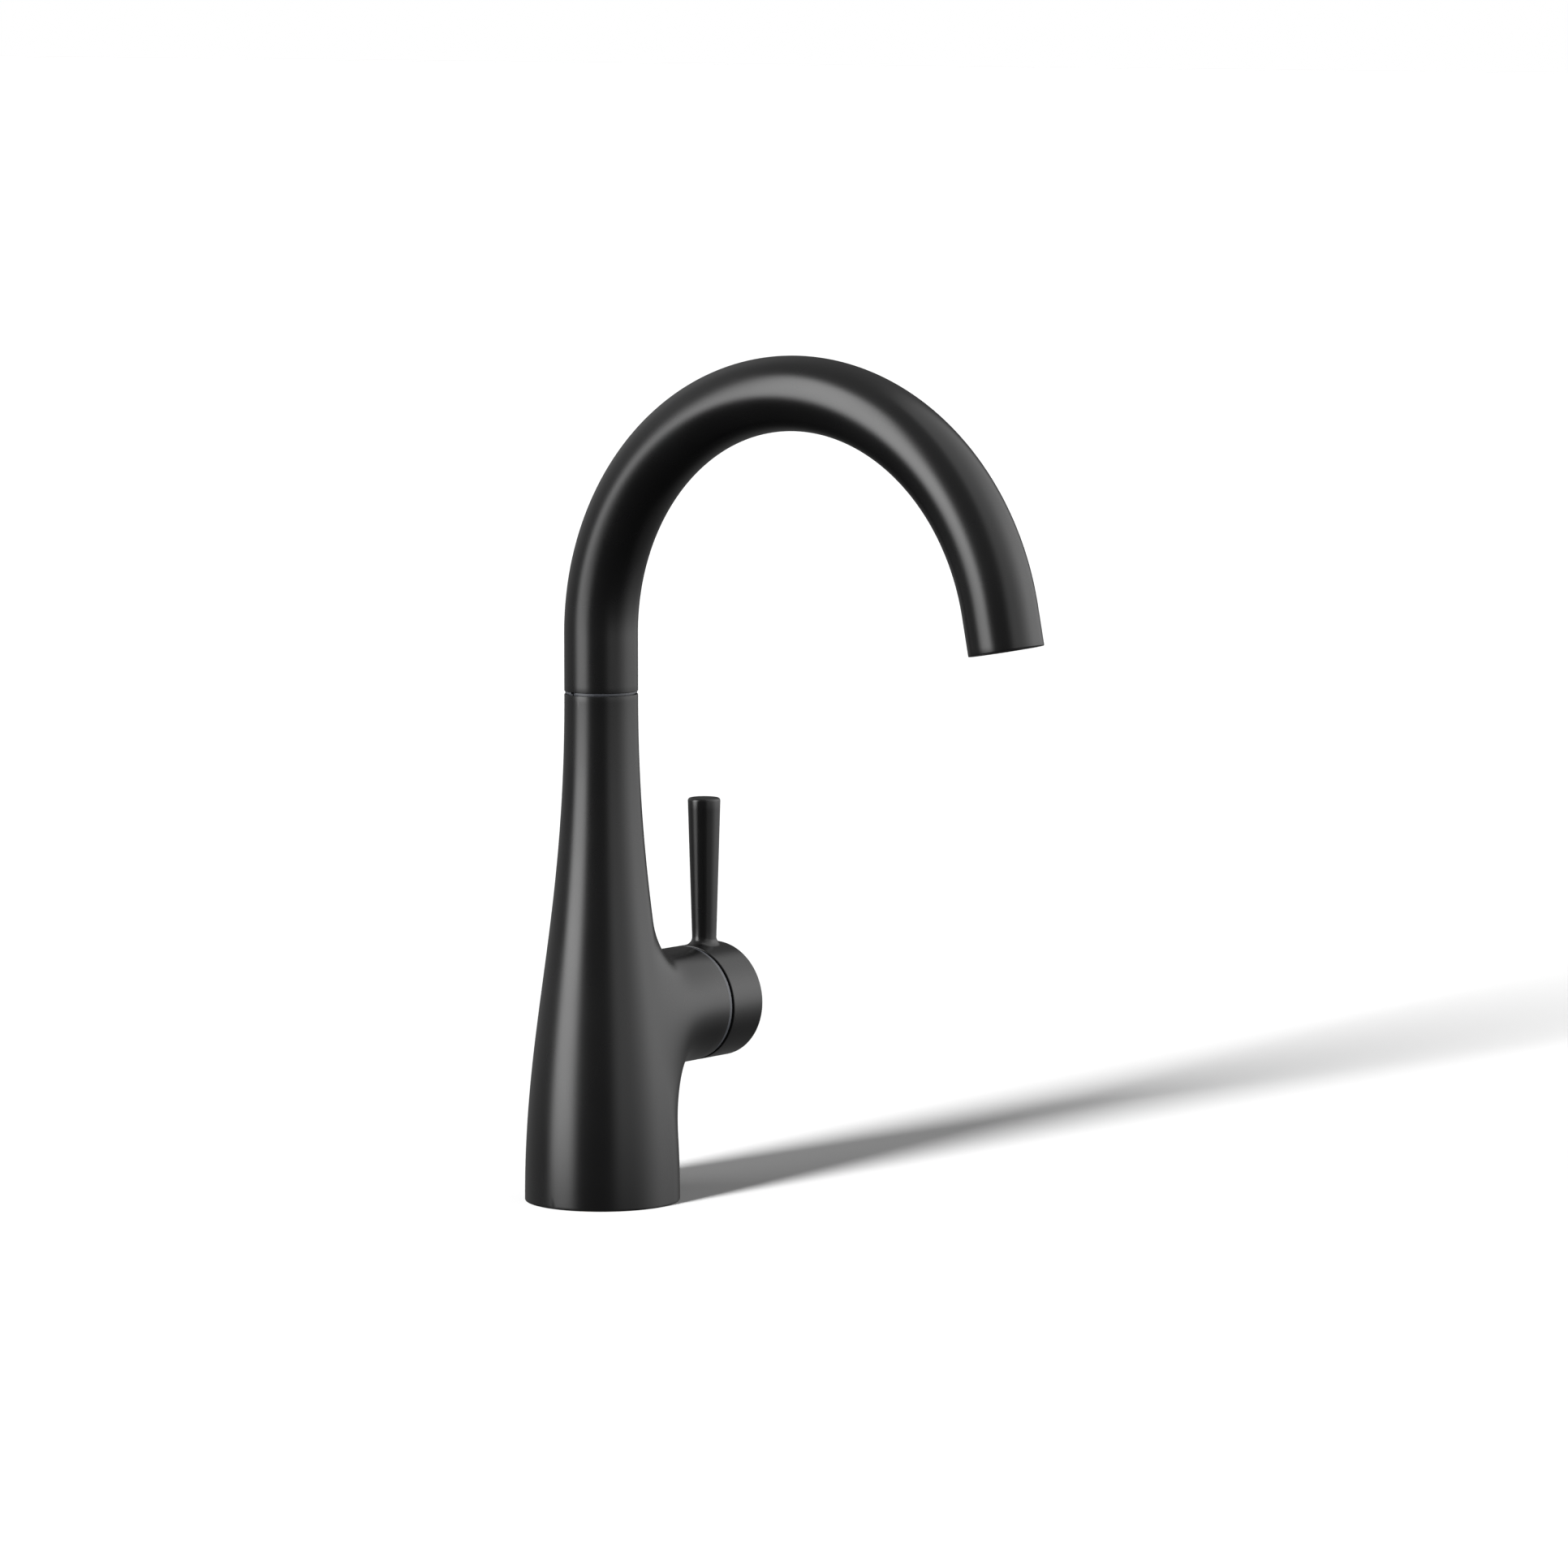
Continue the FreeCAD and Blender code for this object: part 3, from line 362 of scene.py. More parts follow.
class ShaderTree(NodeTree):
    """A material with one shader, whose patterns lie in the object's own coordinates."""

    def __init__(self, name: str) -> None:
        """Starts a material under a name."""
        self.material = bpy.data.materials.new(name)
        super().__init__(self.material)
        self.shader = self.nodes["Principled BSDF"]
        self.place = self.add("ShaderNodeTexCoord").outputs["Object"]

    def noise(self, size: float, detail: float = 2.0, stretch: Vector | None = None) -> NodeSocket:
        """Adds a cloudy pattern.

        Args:
            size: The length of one cloud.
            detail: Levels of finer clouds.
            stretch: How much longer a cloud is along each axis.

        Returns:
            The pattern's value, about 0.5 on average.
        """
        place = self.place
        if stretch:
            mapping = self.add("ShaderNodeMapping")
            fill(mapping, Scale=Vector([1 / length for length in stretch]))
            self.links.new(place, mapping.inputs["Vector"])
            place = mapping.outputs["Vector"]
        texture = self.add("ShaderNodeTexNoise")
        fill(texture, Scale=1 / size, Detail=detail)
        self.links.new(place, texture.inputs["Vector"])
        return texture.outputs["Fac"]

    def range(self, value: NodeSocket, low: float, high: float, target: str) -> None:
        """Spreads a pattern over a range and joins it to one of the shader's sockets.

        Args:
            value: The pattern.
            low: The value where the pattern is lowest.
            high: The value where the pattern is highest.
            target: The shader's socket.
        """
        spread = self.add("ShaderNodeMapRange")
        fill(spread, From_Min=PATTERN_LOW, From_Max=PATTERN_HIGH, To_Min=low, To_Max=high)
        self.links.new(value, spread.inputs["Value"])
        self.links.new(spread.outputs["Result"], self.shader.inputs[target])

    def colours(self, value: NodeSocket, low: Colour, high: Colour) -> None:
        """Colours the shader between two colours by a pattern.

        Args:
            value: The pattern.
            low: The colour where the pattern is lowest.
            high: The colour where the pattern is highest.
        """
        ramp = self.add("ShaderNodeValToRGB")
        stops = ((PATTERN_LOW, low), (PATTERN_HIGH, high))
        for element, (place, colour) in zip(ramp.color_ramp.elements, stops):
            element.position = place
            element.color = (*colour, 1)
        self.links.new(value, ramp.inputs["Fac"])
        self.links.new(ramp.outputs["Color"], self.shader.inputs["Base Color"])

    def bump(self, value: NodeSocket, height: float, strength: float) -> None:
        """Raises the surface by a pattern.

        Args:
            value: The pattern.
            height: The height of the pattern's highest part.
            strength: How much of it shows.
        """
        bump = self.add("ShaderNodeBump")
        fill(bump, Distance=height, Strength=strength)
        self.links.new(value, bump.inputs["Height"])
        self.links.new(bump.outputs["Normal"], self.shader.inputs["Normal"])


# Finishes

@dataclass(frozen=True)
class GrainedFinish:
    """A coating, plastic or rubber with a faint cloudiness and a fine grain."""

    name: str
    dark: Colour
    light: Colour
    roughness: float
    spread: float = 0.04
    cloud: float = 6 * MM
    grain: float = 0.3 * MM
    grain_detail: float = 2.0
    grain_height: float = 0.008 * MM
    grain_strength: float = 0.3

    def material(self) -> Material:
        """Makes the finish's material."""
        tree = ShaderTree(self.name)
        clouds = tree.noise(self.cloud)
        tree.colours(clouds, self.dark, self.light)
        tree.range(clouds, self.roughness - self.spread, self.roughness + self.spread, "Roughness")
        grain = tree.noise(self.grain, self.grain_detail)
        tree.bump(grain, self.grain_height, self.grain_strength)
        return tree.material


@dataclass(frozen=True)
class TurnedMetal:
    """A bare metal with the marks of a lathe or a brush round the upright axis."""

    name: str
    dark: Colour
    light: Colour
    roughness: float
    spread: float = 0.08
    cloud: float = 9 * MM
    mark: float = 0.25 * MM
    mark_length: float = 40.0
    mark_height: float = 0.004 * MM
    mark_strength: float = 0.4

    def material(self) -> Material:
        """Makes the finish's material."""
        tree = ShaderTree(self.name)
        fill(tree.shader, Metallic=1.0)
        marks = tree.noise(self.mark, stretch=Vector((self.mark_length, self.mark_length, 1)))
        tree.colours(tree.noise(self.cloud), self.dark, self.light)
        tree.range(marks, self.roughness - self.spread, self.roughness + self.spread, "Roughness")
        tree.bump(marks, self.mark_height, self.mark_strength)
        return tree.material


FINISHES = {
    Slot.COATING: GrainedFinish(
        "matte_black_coat",
        dark=(0.0046, 0.0046, 0.0048),
        light=(0.0060, 0.0060, 0.0062),
        roughness=0.27,
        spread=0.02,
        cloud=30 * MM,
        grain=0.45 * MM,
        grain_detail=1.0,
        grain_height=0.010 * MM,
        grain_strength=0.25,
    ),
    Slot.RUBBER: GrainedFinish(
        "seal_rubber", dark=(0.022, 0.022, 0.022), light=(0.034, 0.034, 0.033), roughness=0.72
    ),
    Slot.BRASS: TurnedMetal(
        "machined_brass", dark=(0.66, 0.47, 0.21), light=(0.76, 0.57, 0.29), roughness=0.30
    ),
    Slot.STEEL: TurnedMetal(
        "brushed_steel", dark=(0.56, 0.56, 0.57), light=(0.66, 0.66, 0.67), roughness=0.34
    ),
    Slot.BLACK_PLASTIC: GrainedFinish(
        "black_plastic", dark=(0.022, 0.022, 0.023), light=(0.032, 0.032, 0.034), roughness=0.48
    ),
    Slot.GREY_PLASTIC: GrainedFinish(
        "grey_plastic", dark=(0.072, 0.076, 0.088), light=(0.092, 0.097, 0.110), roughness=0.40
    ),
    Slot.WHITE_PLASTIC: GrainedFinish(
        "white_plastic", dark=(0.74, 0.74, 0.72), light=(0.80, 0.80, 0.78), roughness=0.38
    ),
    Slot.CERAMIC: GrainedFinish(
        "lapped_ceramic", dark=(0.82, 0.81, 0.78), light=(0.88, 0.87, 0.84), roughness=0.16
    ),
}


class Workshop:
    """Keeps one material for each slot, and turns finished meshes into pieces of the part."""

    def __init__(self) -> None:
        """Makes the materials."""
        self.materials = {slot: finish.material() for slot, finish in FINISHES.items()}

    def piece(self, bm: BMesh, name: str, body: Body, slot: Slot, *nodes: str) -> None:
        """Turns a mesh into a dressed piece that moves with its body.

        Args:
            bm: The mesh, which is used up.
            name: The piece's name.
            body: The body that it moves with.
            slot: Its material slot.
            nodes: The CAD nodes that it stands for.
        """
        merge(bm)
        bmesh.ops.recalc_face_normals(bm, faces=bm.faces)
        for face in bm.faces:
            face.smooth = True
        for edge in bm.edges:
            edge.smooth = len(edge.link_faces) == 2 and edge.calc_face_angle() < SHARP_ANGLE
        mesh = bpy.data.meshes.new(name)
        bm.to_mesh(mesh)
        bm.free()
        mesh.materials.append(self.materials[slot])
        piece = bpy.data.objects.new(name, mesh)
        bpy.context.scene.collection.objects.link(piece)
        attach(piece, body.value)
        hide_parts(*nodes)
        log.info("%s: %d faces, for %s", name, len(mesh.polygons), ", ".join(nodes))

    def dress(self, name: str, slot: Slot) -> None:
        """Gives a CAD node the material of its slot.

        Args:
            name: The node's name.
            slot: Its material slot.
        """
        node = frame["nodes"][name]
        node.data.materials.clear()
        node.data.materials.append(self.materials[slot])
        log.info("%s: CAD node in %s", name, slot.value)


# The casting

@dataclass
class FaucetBody:
    """The casting: a flared column with the valve's stub drawn smoothly out of its side."""

    base_radius: float = 23.70 * MM
    neck_radius: float = TUBE_RADIUS
    height: float = 155.20 * MM
    lower_pull: float = 55.40 * MM
    upper_pull: float = 71.00 * MM
    base_round: float = 0.40 * MM
    neck_round: float = 0.20 * MM
    stub_radius: float = 17.80 * MM
    stub_reach: float = 40.80 * MM
    stub_straight: float = 4.00 * MM
    stub_round: float = 0.40 * MM
    blend_above: float = 34.50 * MM
    blend_below: float = 47.00 * MM
    blend_half_angle: float = math.radians(84)
    blend_side_fullness: float = -0.30
    blend_end_fullness: float = 0.30
    blend_body_pull: float = 0.60
    blend_stub_pull: float = 0.53
    mouth_radius: float = 14.50 * MM
    mouth_floor: float = 22.00 * MM
    cartridge_radius: float = 11.85 * MM
    cartridge_floor: float = 2.00 * MM
    bearing_radius: float = 9.81 * MM
    bearing_depth: float = 5.00 * MM
    socket_radius: float = 8.76 * MM
    socket_depth: float = 34.00 * MM
    groove_outer: float = 21.50 * MM
    groove_inner: float = 17.00 * MM
    groove_depth: float = 1.50 * MM
    shank_hole_radius: float = 10.58 * MM
    shank_hole_depth: float = 13.00 * MM
    half_steps: int = 48
    side_steps: int = 48
    blend_bands: int = 30
    flare_bands: int = 44
    flare_halvings: int = 40

    def flare_at(self, height: float) -> tuple[float, float]:
        """Measures the column at a height.

        Args:
            height: The height above the deck.

        Returns:
            The column's radius, and how much it grows for each step up.
        """
        low, high = 0.0, 1.0
        for _ in range(self.flare_halvings):
            share = (low + high) / 2
            left = 1 - share
            rise = 3 * left * left * share * self.lower_pull + share**3 * self.height
            rise += 3 * left * share * share * (self.height - self.upper_pull)
            low, high = (share, high) if rise < height else (low, share)
        growth = self.neck_radius - self.base_radius
        radius = self.base_radius + growth * (3 * left * share * share + share**3)
        climb = 3 * left * left * self.lower_pull + 3 * share * share * self.upper_pull
        climb += 6 * left * share * (self.height - self.upper_pull - self.lower_pull)
        return radius, 6 * left * share * growth / climb

    def flare_point(self, around: float, height: float) -> Vector:
        """Gives the point of the column's side at an angle from +X and a height."""
        return BODY_AXIS.at(self.flare_at(height)[0], around, height)

    def blend_start(self, turn: float) -> tuple[float, float]:
        """Gives where the blend leaves the column.

        Args:
            turn: The angle round the stub from its lowest point towards +Y.

        Returns:
            The angle from +X and the height.
        """
        side, drop = math.sin(turn), math.cos(turn)
        around = self.blend_half_angle * side * (1 + self.blend_side_fullness * drop * drop)
        mean = (self.blend_above + self.blend_below) / 2
        reach = mean + (self.blend_below - self.blend_above) / 2 * drop
        return around, VALVE_HEIGHT - drop * reach * (1 + self.blend_end_fullness * side * side)

    def blend_section(self, turn: float) -> list[Vector]:
        """Gives a section of the blend, from the column out to the stub.

        Args:
            turn: The angle round the stub from its lowest point towards +Y.

        Returns:
            The four poles of a cubic curve that leaves both surfaces smoothly.
        """
        around, height = self.blend_start(turn)
        radius, slope = self.flare_at(height)
        outward = Vector((math.cos(around), math.sin(around), -slope)).normalized()
        on_body = BODY_AXIS.at(radius, around, height)
        on_stub = VALVE_AXIS.at(self.stub_radius, math.pi + turn, self.stub_reach - self.stub_straight)
        span = on_stub - on_body
        along_body = (span - outward * span.dot(outward)).normalized()
        return [
            on_body,
            on_body + along_body * (self.blend_body_pull * span.length),
            on_stub - X_AXIS * (self.blend_stub_pull * span.length),
            on_stub,
        ]

    def stub_profile(self) -> Profile:
        """Gives the stub's end and the cartridge's bore, about the valve's axis."""
        return [
            *rounded(self.stub_radius, self.stub_reach, self.stub_round),
            (self.mouth_radius, self.stub_reach),
            (self.mouth_radius, self.mouth_floor),
            (self.cartridge_radius, self.mouth_floor),
            (self.cartridge_radius, self.cartridge_floor),
        ]

    def neck_profile(self) -> Profile:
        """Gives the neck's upper edge and the spout's socket."""
        return [
            *rounded(self.neck_radius, self.height, self.neck_round)[1:],
            (self.bearing_radius, self.height),
            (self.bearing_radius, self.height - self.bearing_depth),
            (self.socket_radius, self.height - self.bearing_depth),
            (self.socket_radius, self.height - self.socket_depth),
        ]

    def base_profile(self) -> Profile:
        """Gives the base's lower edge, the gasket's groove and the shank's hole."""
        return [
            *rounded(self.base_radius, 0.0, self.base_round, way=-1)[1:],
            (self.groove_outer, 0.0),
            (self.groove_outer, self.groove_depth),
            (self.groove_inner, self.groove_depth),
            (self.groove_inner, 0.0),
            (self.shank_hole_radius, 0.0),
            (self.shank_hole_radius, self.shank_hole_depth),
        ]

    def build(self, workshop: Workshop) -> None:
        """Builds the casting outwards from the blend's edge on the column.

        Args:
            workshop: Dresses the piece.
        """
        bm = bmesh.new()
        turns = border_turns(self.half_steps, self.side_steps)
        sections = [self.blend_section(turn) for turn in turns]
        edge = closed_loop(bm, [section[0] for section in sections])
        loop = edge
        for share in shares(self.blend_bands):
            loop = grow(bm, loop, [bezier(section, share) for section in sections])
        close(bm, grow_round(bm, loop, VALVE_AXIS, self.stub_profile()))
        low, high = self.base_round, self.height - self.neck_round
        border = sheet_border(self.half_steps, self.side_steps, math.pi, low, high)
        inner = [self.blend_start(turn) for turn in turns]
        grow_sheet(bm, edge, inner, border, self.flare_bands, self.flare_point)
        merge(bm)
        close(bm, grow_round(bm, rim_at(bm, BODY_AXIS, high), BODY_AXIS, self.neck_profile()))
        close(bm, grow_round(bm, rim_at(bm, BODY_AXIS, low), BODY_AXIS, self.base_profile()))
        workshop.piece(bm, "coated_body", Body.FIXED, Slot.COATING, "body_casting")


# The gooseneck

@dataclass
class Gooseneck:
    """The spout's tube: a straight foot, one long bend and a short straight end."""

    radius: float = TUBE_RADIUS
    bore: float = 10.00 * MM
    foot: float = 156.10 * MM
    bend_start: float = 173.55 * MM
    bend_radius: float = 75.25 * MM
    bend_angle: float = math.radians(168.8)
    end_straight: float = 11.90 * MM
    foot_round: float = 0.20 * MM
    outlet_round: float = 0.30 * MM
    segments: int = 144
    outer_bands: int = 150
    inner_bands: int = 60

    def foot_length(self) -> float:
        """Gives the length of the straight foot."""
        return self.bend_start - self.foot

    def length(self) -> float:
        """Gives the length along the tube's middle."""
        return self.foot_length() + self.bend_radius * self.bend_angle + self.end_straight

    def axis_at(self, run: float) -> Axis:
        """Gives the tube's own axis at a length along its middle, from which a ring is placed.

        Args:
            run: The length from the foot.

        Returns:
            The axis there, with angles from +X.
        """
        turn = min(max((run - self.foot_length()) / self.bend_radius, 0.0), self.bend_angle)
        along = Vector((0, -math.sin(turn), math.cos(turn)))
        over = Vector((0, math.cos(turn), math.sin(turn)))
        centre = Vector((0, -self.bend_radius, self.bend_start))
        middle = centre + over * self.bend_radius
        straight = run - self.foot_length() - self.bend_radius * turn
        return Axis(middle + along * straight, along, X_AXIS, over)

    def profile(self) -> Profile:
        """Gives the wall's section as radius and length along the tube, once round."""
        length = self.length()
        low, high = self.foot_round, length - self.outlet_round
        return [
            (self.bore, 0.0),
            *reversed(rounded(self.radius, 0.0, self.foot_round, way=-1)),
            *[(self.radius, run) for run in spaced(low, high, self.outer_bands)[1:-1]],
            *rounded(self.radius, length, self.outlet_round),
            *[(self.bore, run) for run in spaced(length, low, self.inner_bands)],
        ]

    def build(self, workshop: Workshop) -> None:
        """Builds the tube's wall ring by ring, out along its outside and back along its bore.

        Args:
            workshop: Dresses the piece.
        """
        bm = bmesh.new()
        angles = round_turns(self.segments)
        rings = []
        for radius, run in self.profile():
            axis = self.axis_at(run)
            rings.append([axis.at(radius, angle, 0.0) for angle in angles])
        loop = closed_loop(bm, rings[0])
        for places in [*rings[1:], rings[0]]:
            loop = grow(bm, loop, places)
        workshop.piece(bm, "gooseneck_tube", Body.SPOUT, Slot.COATING, "spout_tube")


# The handle

@dataclass
class LeverHandle:
    """The handle: a round hub with a tapered lever standing on it, joined by a rolling-ball fillet."""

    hub_radius: float = 17.80 * MM
    hub_start: float = 42.70 * MM
    hub_end: float = 57.15 * MM
    inner_round: float = 0.40 * MM
    outer_round: float = 0.45 * MM
    hollow_radius: float = 14.80 * MM
    hollow_floor: float = 53.15 * MM
    boss_radius: float = 7.50 * MM
    boss_recess: float = 1.00 * MM
    stem_hole_radius: float = 4.05 * MM
    stem_hole_floor: float = 52.05 * MM
    lever_place: float = 50.40 * MM
    lever_top: float = 119.00 * MM
    lever_top_radius: float = 5.075 * MM
    lever_root_radius: float = 3.725 * MM
    root_round: float = 2.50 * MM
    rim_round: float = 0.90 * MM
    dish_radius: float = 3.80 * MM
    dish_depth: float = 0.35 * MM
    plug_place: float = 48.30 * MM
    plug_radius: float = 3.05 * MM
    plug_floor: float = 14.60 * MM
    half_steps: int = 30
    side_steps: int = 24
    hub_bands: int = 18
    root_bands: int = 12
    lever_bands: int = 16
    dish_bands: int = 5
    rest_rounds: int = 4

    def lever_axis(self) -> Axis:
        """Gives the lever's axis, with angles from the body's side towards the front."""
        return Axis(Vector((self.lever_place, 0, 0)), Z_AXIS, -X_AXIS, -Y_AXIS)

    def lever_radius(self, height: float) -> float:
        """Gives the lever's radius at a height above the deck."""
        root = VALVE_HEIGHT + self.hub_radius
        share = (height - root) / (self.lever_top - root)
        return self.lever_root_radius + (self.lever_top_radius - self.lever_root_radius) * share

    def root_section(self, turn: float) -> tuple[Vector, Vector, Vector]:
        """Rests a ball against the hub and the lever.

        Args:
            turn: The angle round the lever from the body's side towards the front.

        Returns:
            The ball's centre, and where it touches the hub and the lever.
        """
        reach = self.hub_radius + self.root_round
        height = VALVE_HEIGHT + reach
        for _ in range(self.rest_rounds):
            away = self.lever_radius(height) + self.root_round
            height = VALVE_HEIGHT + math.sqrt(reach**2 - (away * math.sin(turn)) ** 2)
        centre = self.lever_axis().at(away, turn, height)
        around = math.asin(away * math.sin(turn) / reach)
        on_hub = VALVE_AXIS.at(self.hub_radius, around, centre.x)
        on_lever = self.lever_axis().at(away - self.root_round, turn, height)
        return centre, on_hub, on_lever

    def hub_point(self, around: float, distance: float) -> Vector:
        """Gives the point of the hub's side at an angle from the top and a distance along its axis."""
        return VALVE_AXIS.at(self.hub_radius, around, distance)

    def hub_underside(self, around: float, distance: float) -> Vector:
        """Gives the point of the hub's side at an angle from the bottom."""
        return self.hub_point(around + math.pi, distance)

    def build_lever(self, bm: BMesh, turns: Sequence[float]) -> list[BMVert]:
        """Builds the lever from its root's edge on the hub up to the dish in its end.

        Args:
            bm: The handle's mesh.
            turns: The angles of the lever's vertices.

        Returns:
            The ring of vertices at the root's edge on the hub.
        """
        sections = [self.root_section(turn) for turn in turns]
        edge = closed_loop(bm, [on_hub for _, on_hub, _ in sections])
        loop = edge
        for share in shares(self.root_bands):
            places = [
                c + (hub - c).normalized().slerp((lever - c).normalized(), share) * self.root_round
                for c, hub, lever in sections
            ]
            loop = grow(bm, loop, places)
        shoulder = self.lever_top - self.rim_round
        radius = self.lever_radius(shoulder)
        tops = [self.lever_axis().at(radius, turn, shoulder) for turn in turns]
        for share in shares(self.lever_bands):
            places = [lever.lerp(top, share) for (_, _, lever), top in zip(sections, tops)]
            loop = grow(bm, loop, places)
        rim = rounded(radius, self.lever_top, self.rim_round)[1:]
        dish = [
            (self.dish_radius * share, self.lever_top - self.dish_depth * (1 - share * share))
            for share in reversed(shares(self.dish_bands))
        ]
        close(bm, grow_round(bm, loop, self.lever_axis(), rim + dish))
        return edge

    def build_plug_hole(self, bm: BMesh, turns: Sequence[float]) -> tuple[list[BMVert], Sheet]:
        """Builds the hole under the hub that the set screw goes in through.

        Args:
            bm: The handle's mesh.
            turns: The angles of the hole's vertices.

        Returns:
            The ring of vertices at the hole's edge, and their angles and distances on the hub.
        """
        unrolled = [
            (
                math.asin(self.plug_radius * math.sin(turn) / self.hub_radius),
                self.plug_place - self.plug_radius * math.cos(turn),
            )
            for turn in turns
        ]
        edge = closed_loop(bm, [self.hub_underside(*place) for place in unrolled])
        floor = VALVE_HEIGHT - self.plug_floor
        close(bm, grow(bm, edge, [Vector((vert.co.x, vert.co.y, floor)) for vert in edge]))
        return edge, unrolled

    def build(self, workshop: Workshop) -> None:
        """Builds the hub's two halves round the lever and the plug's hole, then the hub's ends.

        Args:
            workshop: Dresses the piece.
        """
        bm = bmesh.new()
        turns = border_turns(self.half_steps, self.side_steps)
        low, high = self.hub_start + self.inner_round, self.hub_end - self.outer_round
        border = sheet_border(self.half_steps, self.side_steps, math.pi / 2, low, high)
        root = self.build_lever(bm, turns)
        unrolled = [(VALVE_AXIS.angle_of(vert.co), vert.co.x) for vert in root]
        grow_sheet(bm, root, unrolled, border, self.hub_bands, self.hub_point)
        hole, unrolled = self.build_plug_hole(bm, turns)
        grow_sheet(bm, hole, unrolled, border, self.hub_bands, self.hub_underside)
        merge(bm)
        outer = rounded(self.hub_radius, self.hub_end, self.outer_round)[1:]
        close(bm, grow_round(bm, rim_at(bm, VALVE_AXIS, high), VALVE_AXIS, outer))
        inner = [
            *rounded(self.hub_radius, self.hub_start, self.inner_round, way=-1)[1:],
            (self.hollow_radius, self.hub_start),
            (self.hollow_radius, self.hollow_floor),
            (self.boss_radius, self.hollow_floor),
            (self.boss_radius, self.hub_start + self.boss_recess),
            (self.stem_hole_radius, self.hub_start + self.boss_recess),
            (self.stem_hole_radius, self.stem_hole_floor),
        ]
        close(bm, grow_round(bm, rim_at(bm, VALVE_AXIS, low), VALVE_AXIS, inner))
        workshop.piece(bm, "lever_handle", Body.HANDLE, Slot.COATING, "handle")


# The ring between stub and hub

@dataclass
class GlideRing:
    """The ring in the stub's mouth, whose collar in the hub keeps light from showing in the gap."""

    bore: float = 12.25 * MM
    spigot_radius: float = 14.45 * MM
    spigot_start: float = 38.30 * MM
    flange_radius: float = 17.60 * MM
    flange_start: float = 40.80 * MM
    flange_end: float = 41.85 * MM
    collar_radius: float = 14.20 * MM
    collar_end: float = 43.40 * MM
    segments: int = 96

    def profile(self) -> Profile:
        """Gives the ring's section as radius and distance along the valve's axis, once round."""
        return [
            (self.bore, self.spigot_start),
            (self.spigot_radius, self.spigot_start),
            (self.spigot_radius, self.flange_start),
            (self.flange_radius, self.flange_start),
            (self.flange_radius, self.flange_end),
            (self.collar_radius, self.flange_end),
            (self.collar_radius, self.collar_end),
            (self.bore, self.collar_end),
            (self.bore, self.spigot_start),
        ]

    def build(self, workshop: Workshop) -> None:
        """Turns the ring.

        Args:
            workshop: Dresses the piece.
        """
        bm = bmesh.new()
        (radius, distance), *others = self.profile()
        places = [VALVE_AXIS.at(radius, angle, distance) for angle in round_turns(self.segments)]
        grow_round(bm, closed_loop(bm, places), VALVE_AXIS, others)
        workshop.piece(bm, "glide_ring", Body.FIXED, Slot.GREY_PLASTIC, "handle_glide")


# The shank

@dataclass(frozen=True)
class Thread:
    """A right-handed V thread on a rod that hangs down, with narrow flats on crest and root."""

    radius: float
    pitch: float
    depth: float
    start: float
    end: float
    chamfer: float
    flat: float = 0.12
    rows: int = 12

    def radius_at(self, angle: float, height: float) -> float:
        """Measures the thread.

        Args:
            angle: The angle about the rod.
            height: The height, between the thread's start and its lower end.

        Returns:
            The radius there, within the chamfer at the end.
        """
        phase = (height / self.pitch - angle / FULL_TURN) % 1.0
        rise = (abs(2 * phase - 1) - self.flat) / (1 - 2 * self.flat)
        runout = min(1.0, (self.start - height) / self.pitch)
        cut = self.depth * runout * (1 - min(max(rise, 0.0), 1.0))
        cone = self.radius - max(0.0, self.end + self.chamfer - height)
        return min(self.radius - cut, cone)

    def heights(self) -> list[float]:
        """Gives the heights of the thread's rings, from its start down."""
        count = round((self.start - self.end) / self.pitch * self.rows)
        return spaced(self.start, self.end, count)


@dataclass
class ThreadedShank:
    """The hollow shank through the deck, threaded for its nut, with a smaller threaded inlet below."""

    top: float = 11.50 * MM
    bore: float = 4.50 * MM
    segments: int = 72
    shank: Thread = Thread(
        radius=10.475 * MM, pitch=1.814 * MM, depth=0.95 * MM,
        start=-3.0 * MM, end=-55.0 * MM, chamfer=1.0 * MM,
    )
    inlet: Thread = Thread(
        radius=7.15 * MM, pitch=1.058 * MM, depth=0.55 * MM,
        start=-57.0 * MM, end=-67.0 * MM, chamfer=0.8 * MM,
    )

    def build(self, workshop: Workshop) -> None:
        """Builds the shank from its upper end down to the inlet and back up the bore.

        Args:
            workshop: Dresses the piece.
        """
        bm = bmesh.new()
        angles = round_turns(self.segments)
        loop = closed_loop(bm, [BODY_AXIS.at(self.bore, angle, self.top) for angle in angles])
        loop = grow_round(bm, loop, BODY_AXIS, [(self.shank.radius, self.top)])
        for thread, shoulder in ((self.shank, 0.0), (self.inlet, self.shank.end)):
            loop = grow_round(bm, loop, BODY_AXIS, [(thread.radius, shoulder)])
            for height in thread.heights():
                radii = [thread.radius_at(angle, height) for angle in angles]
                places = [BODY_AXIS.at(radius, angle, height) for radius, angle in zip(radii, angles)]
                loop = grow(bm, loop, places)
        grow_round(bm, loop, BODY_AXIS, [(self.bore, self.inlet.end), (self.bore, self.top)])
        workshop.piece(bm, "threaded_shank", Body.FIXED, Slot.BRASS, "mounting_shank")


# The fittings

class Fittings:
    """The pieces whose CAD shapes show as they are: seals, bearings, discs and the deck's clamp."""

    def build(self, workshop: Workshop) -> None:
        """Dresses each CAD node that still shows in the material of its slot.

        Args:
            workshop: Dresses the nodes.
        """
        for row in frame["record"]["subparts"]:
            if not frame["nodes"][row["node"]].hide_render:
                workshop.dress(row["node"], Slot(row["material_slot"]))


# The studio

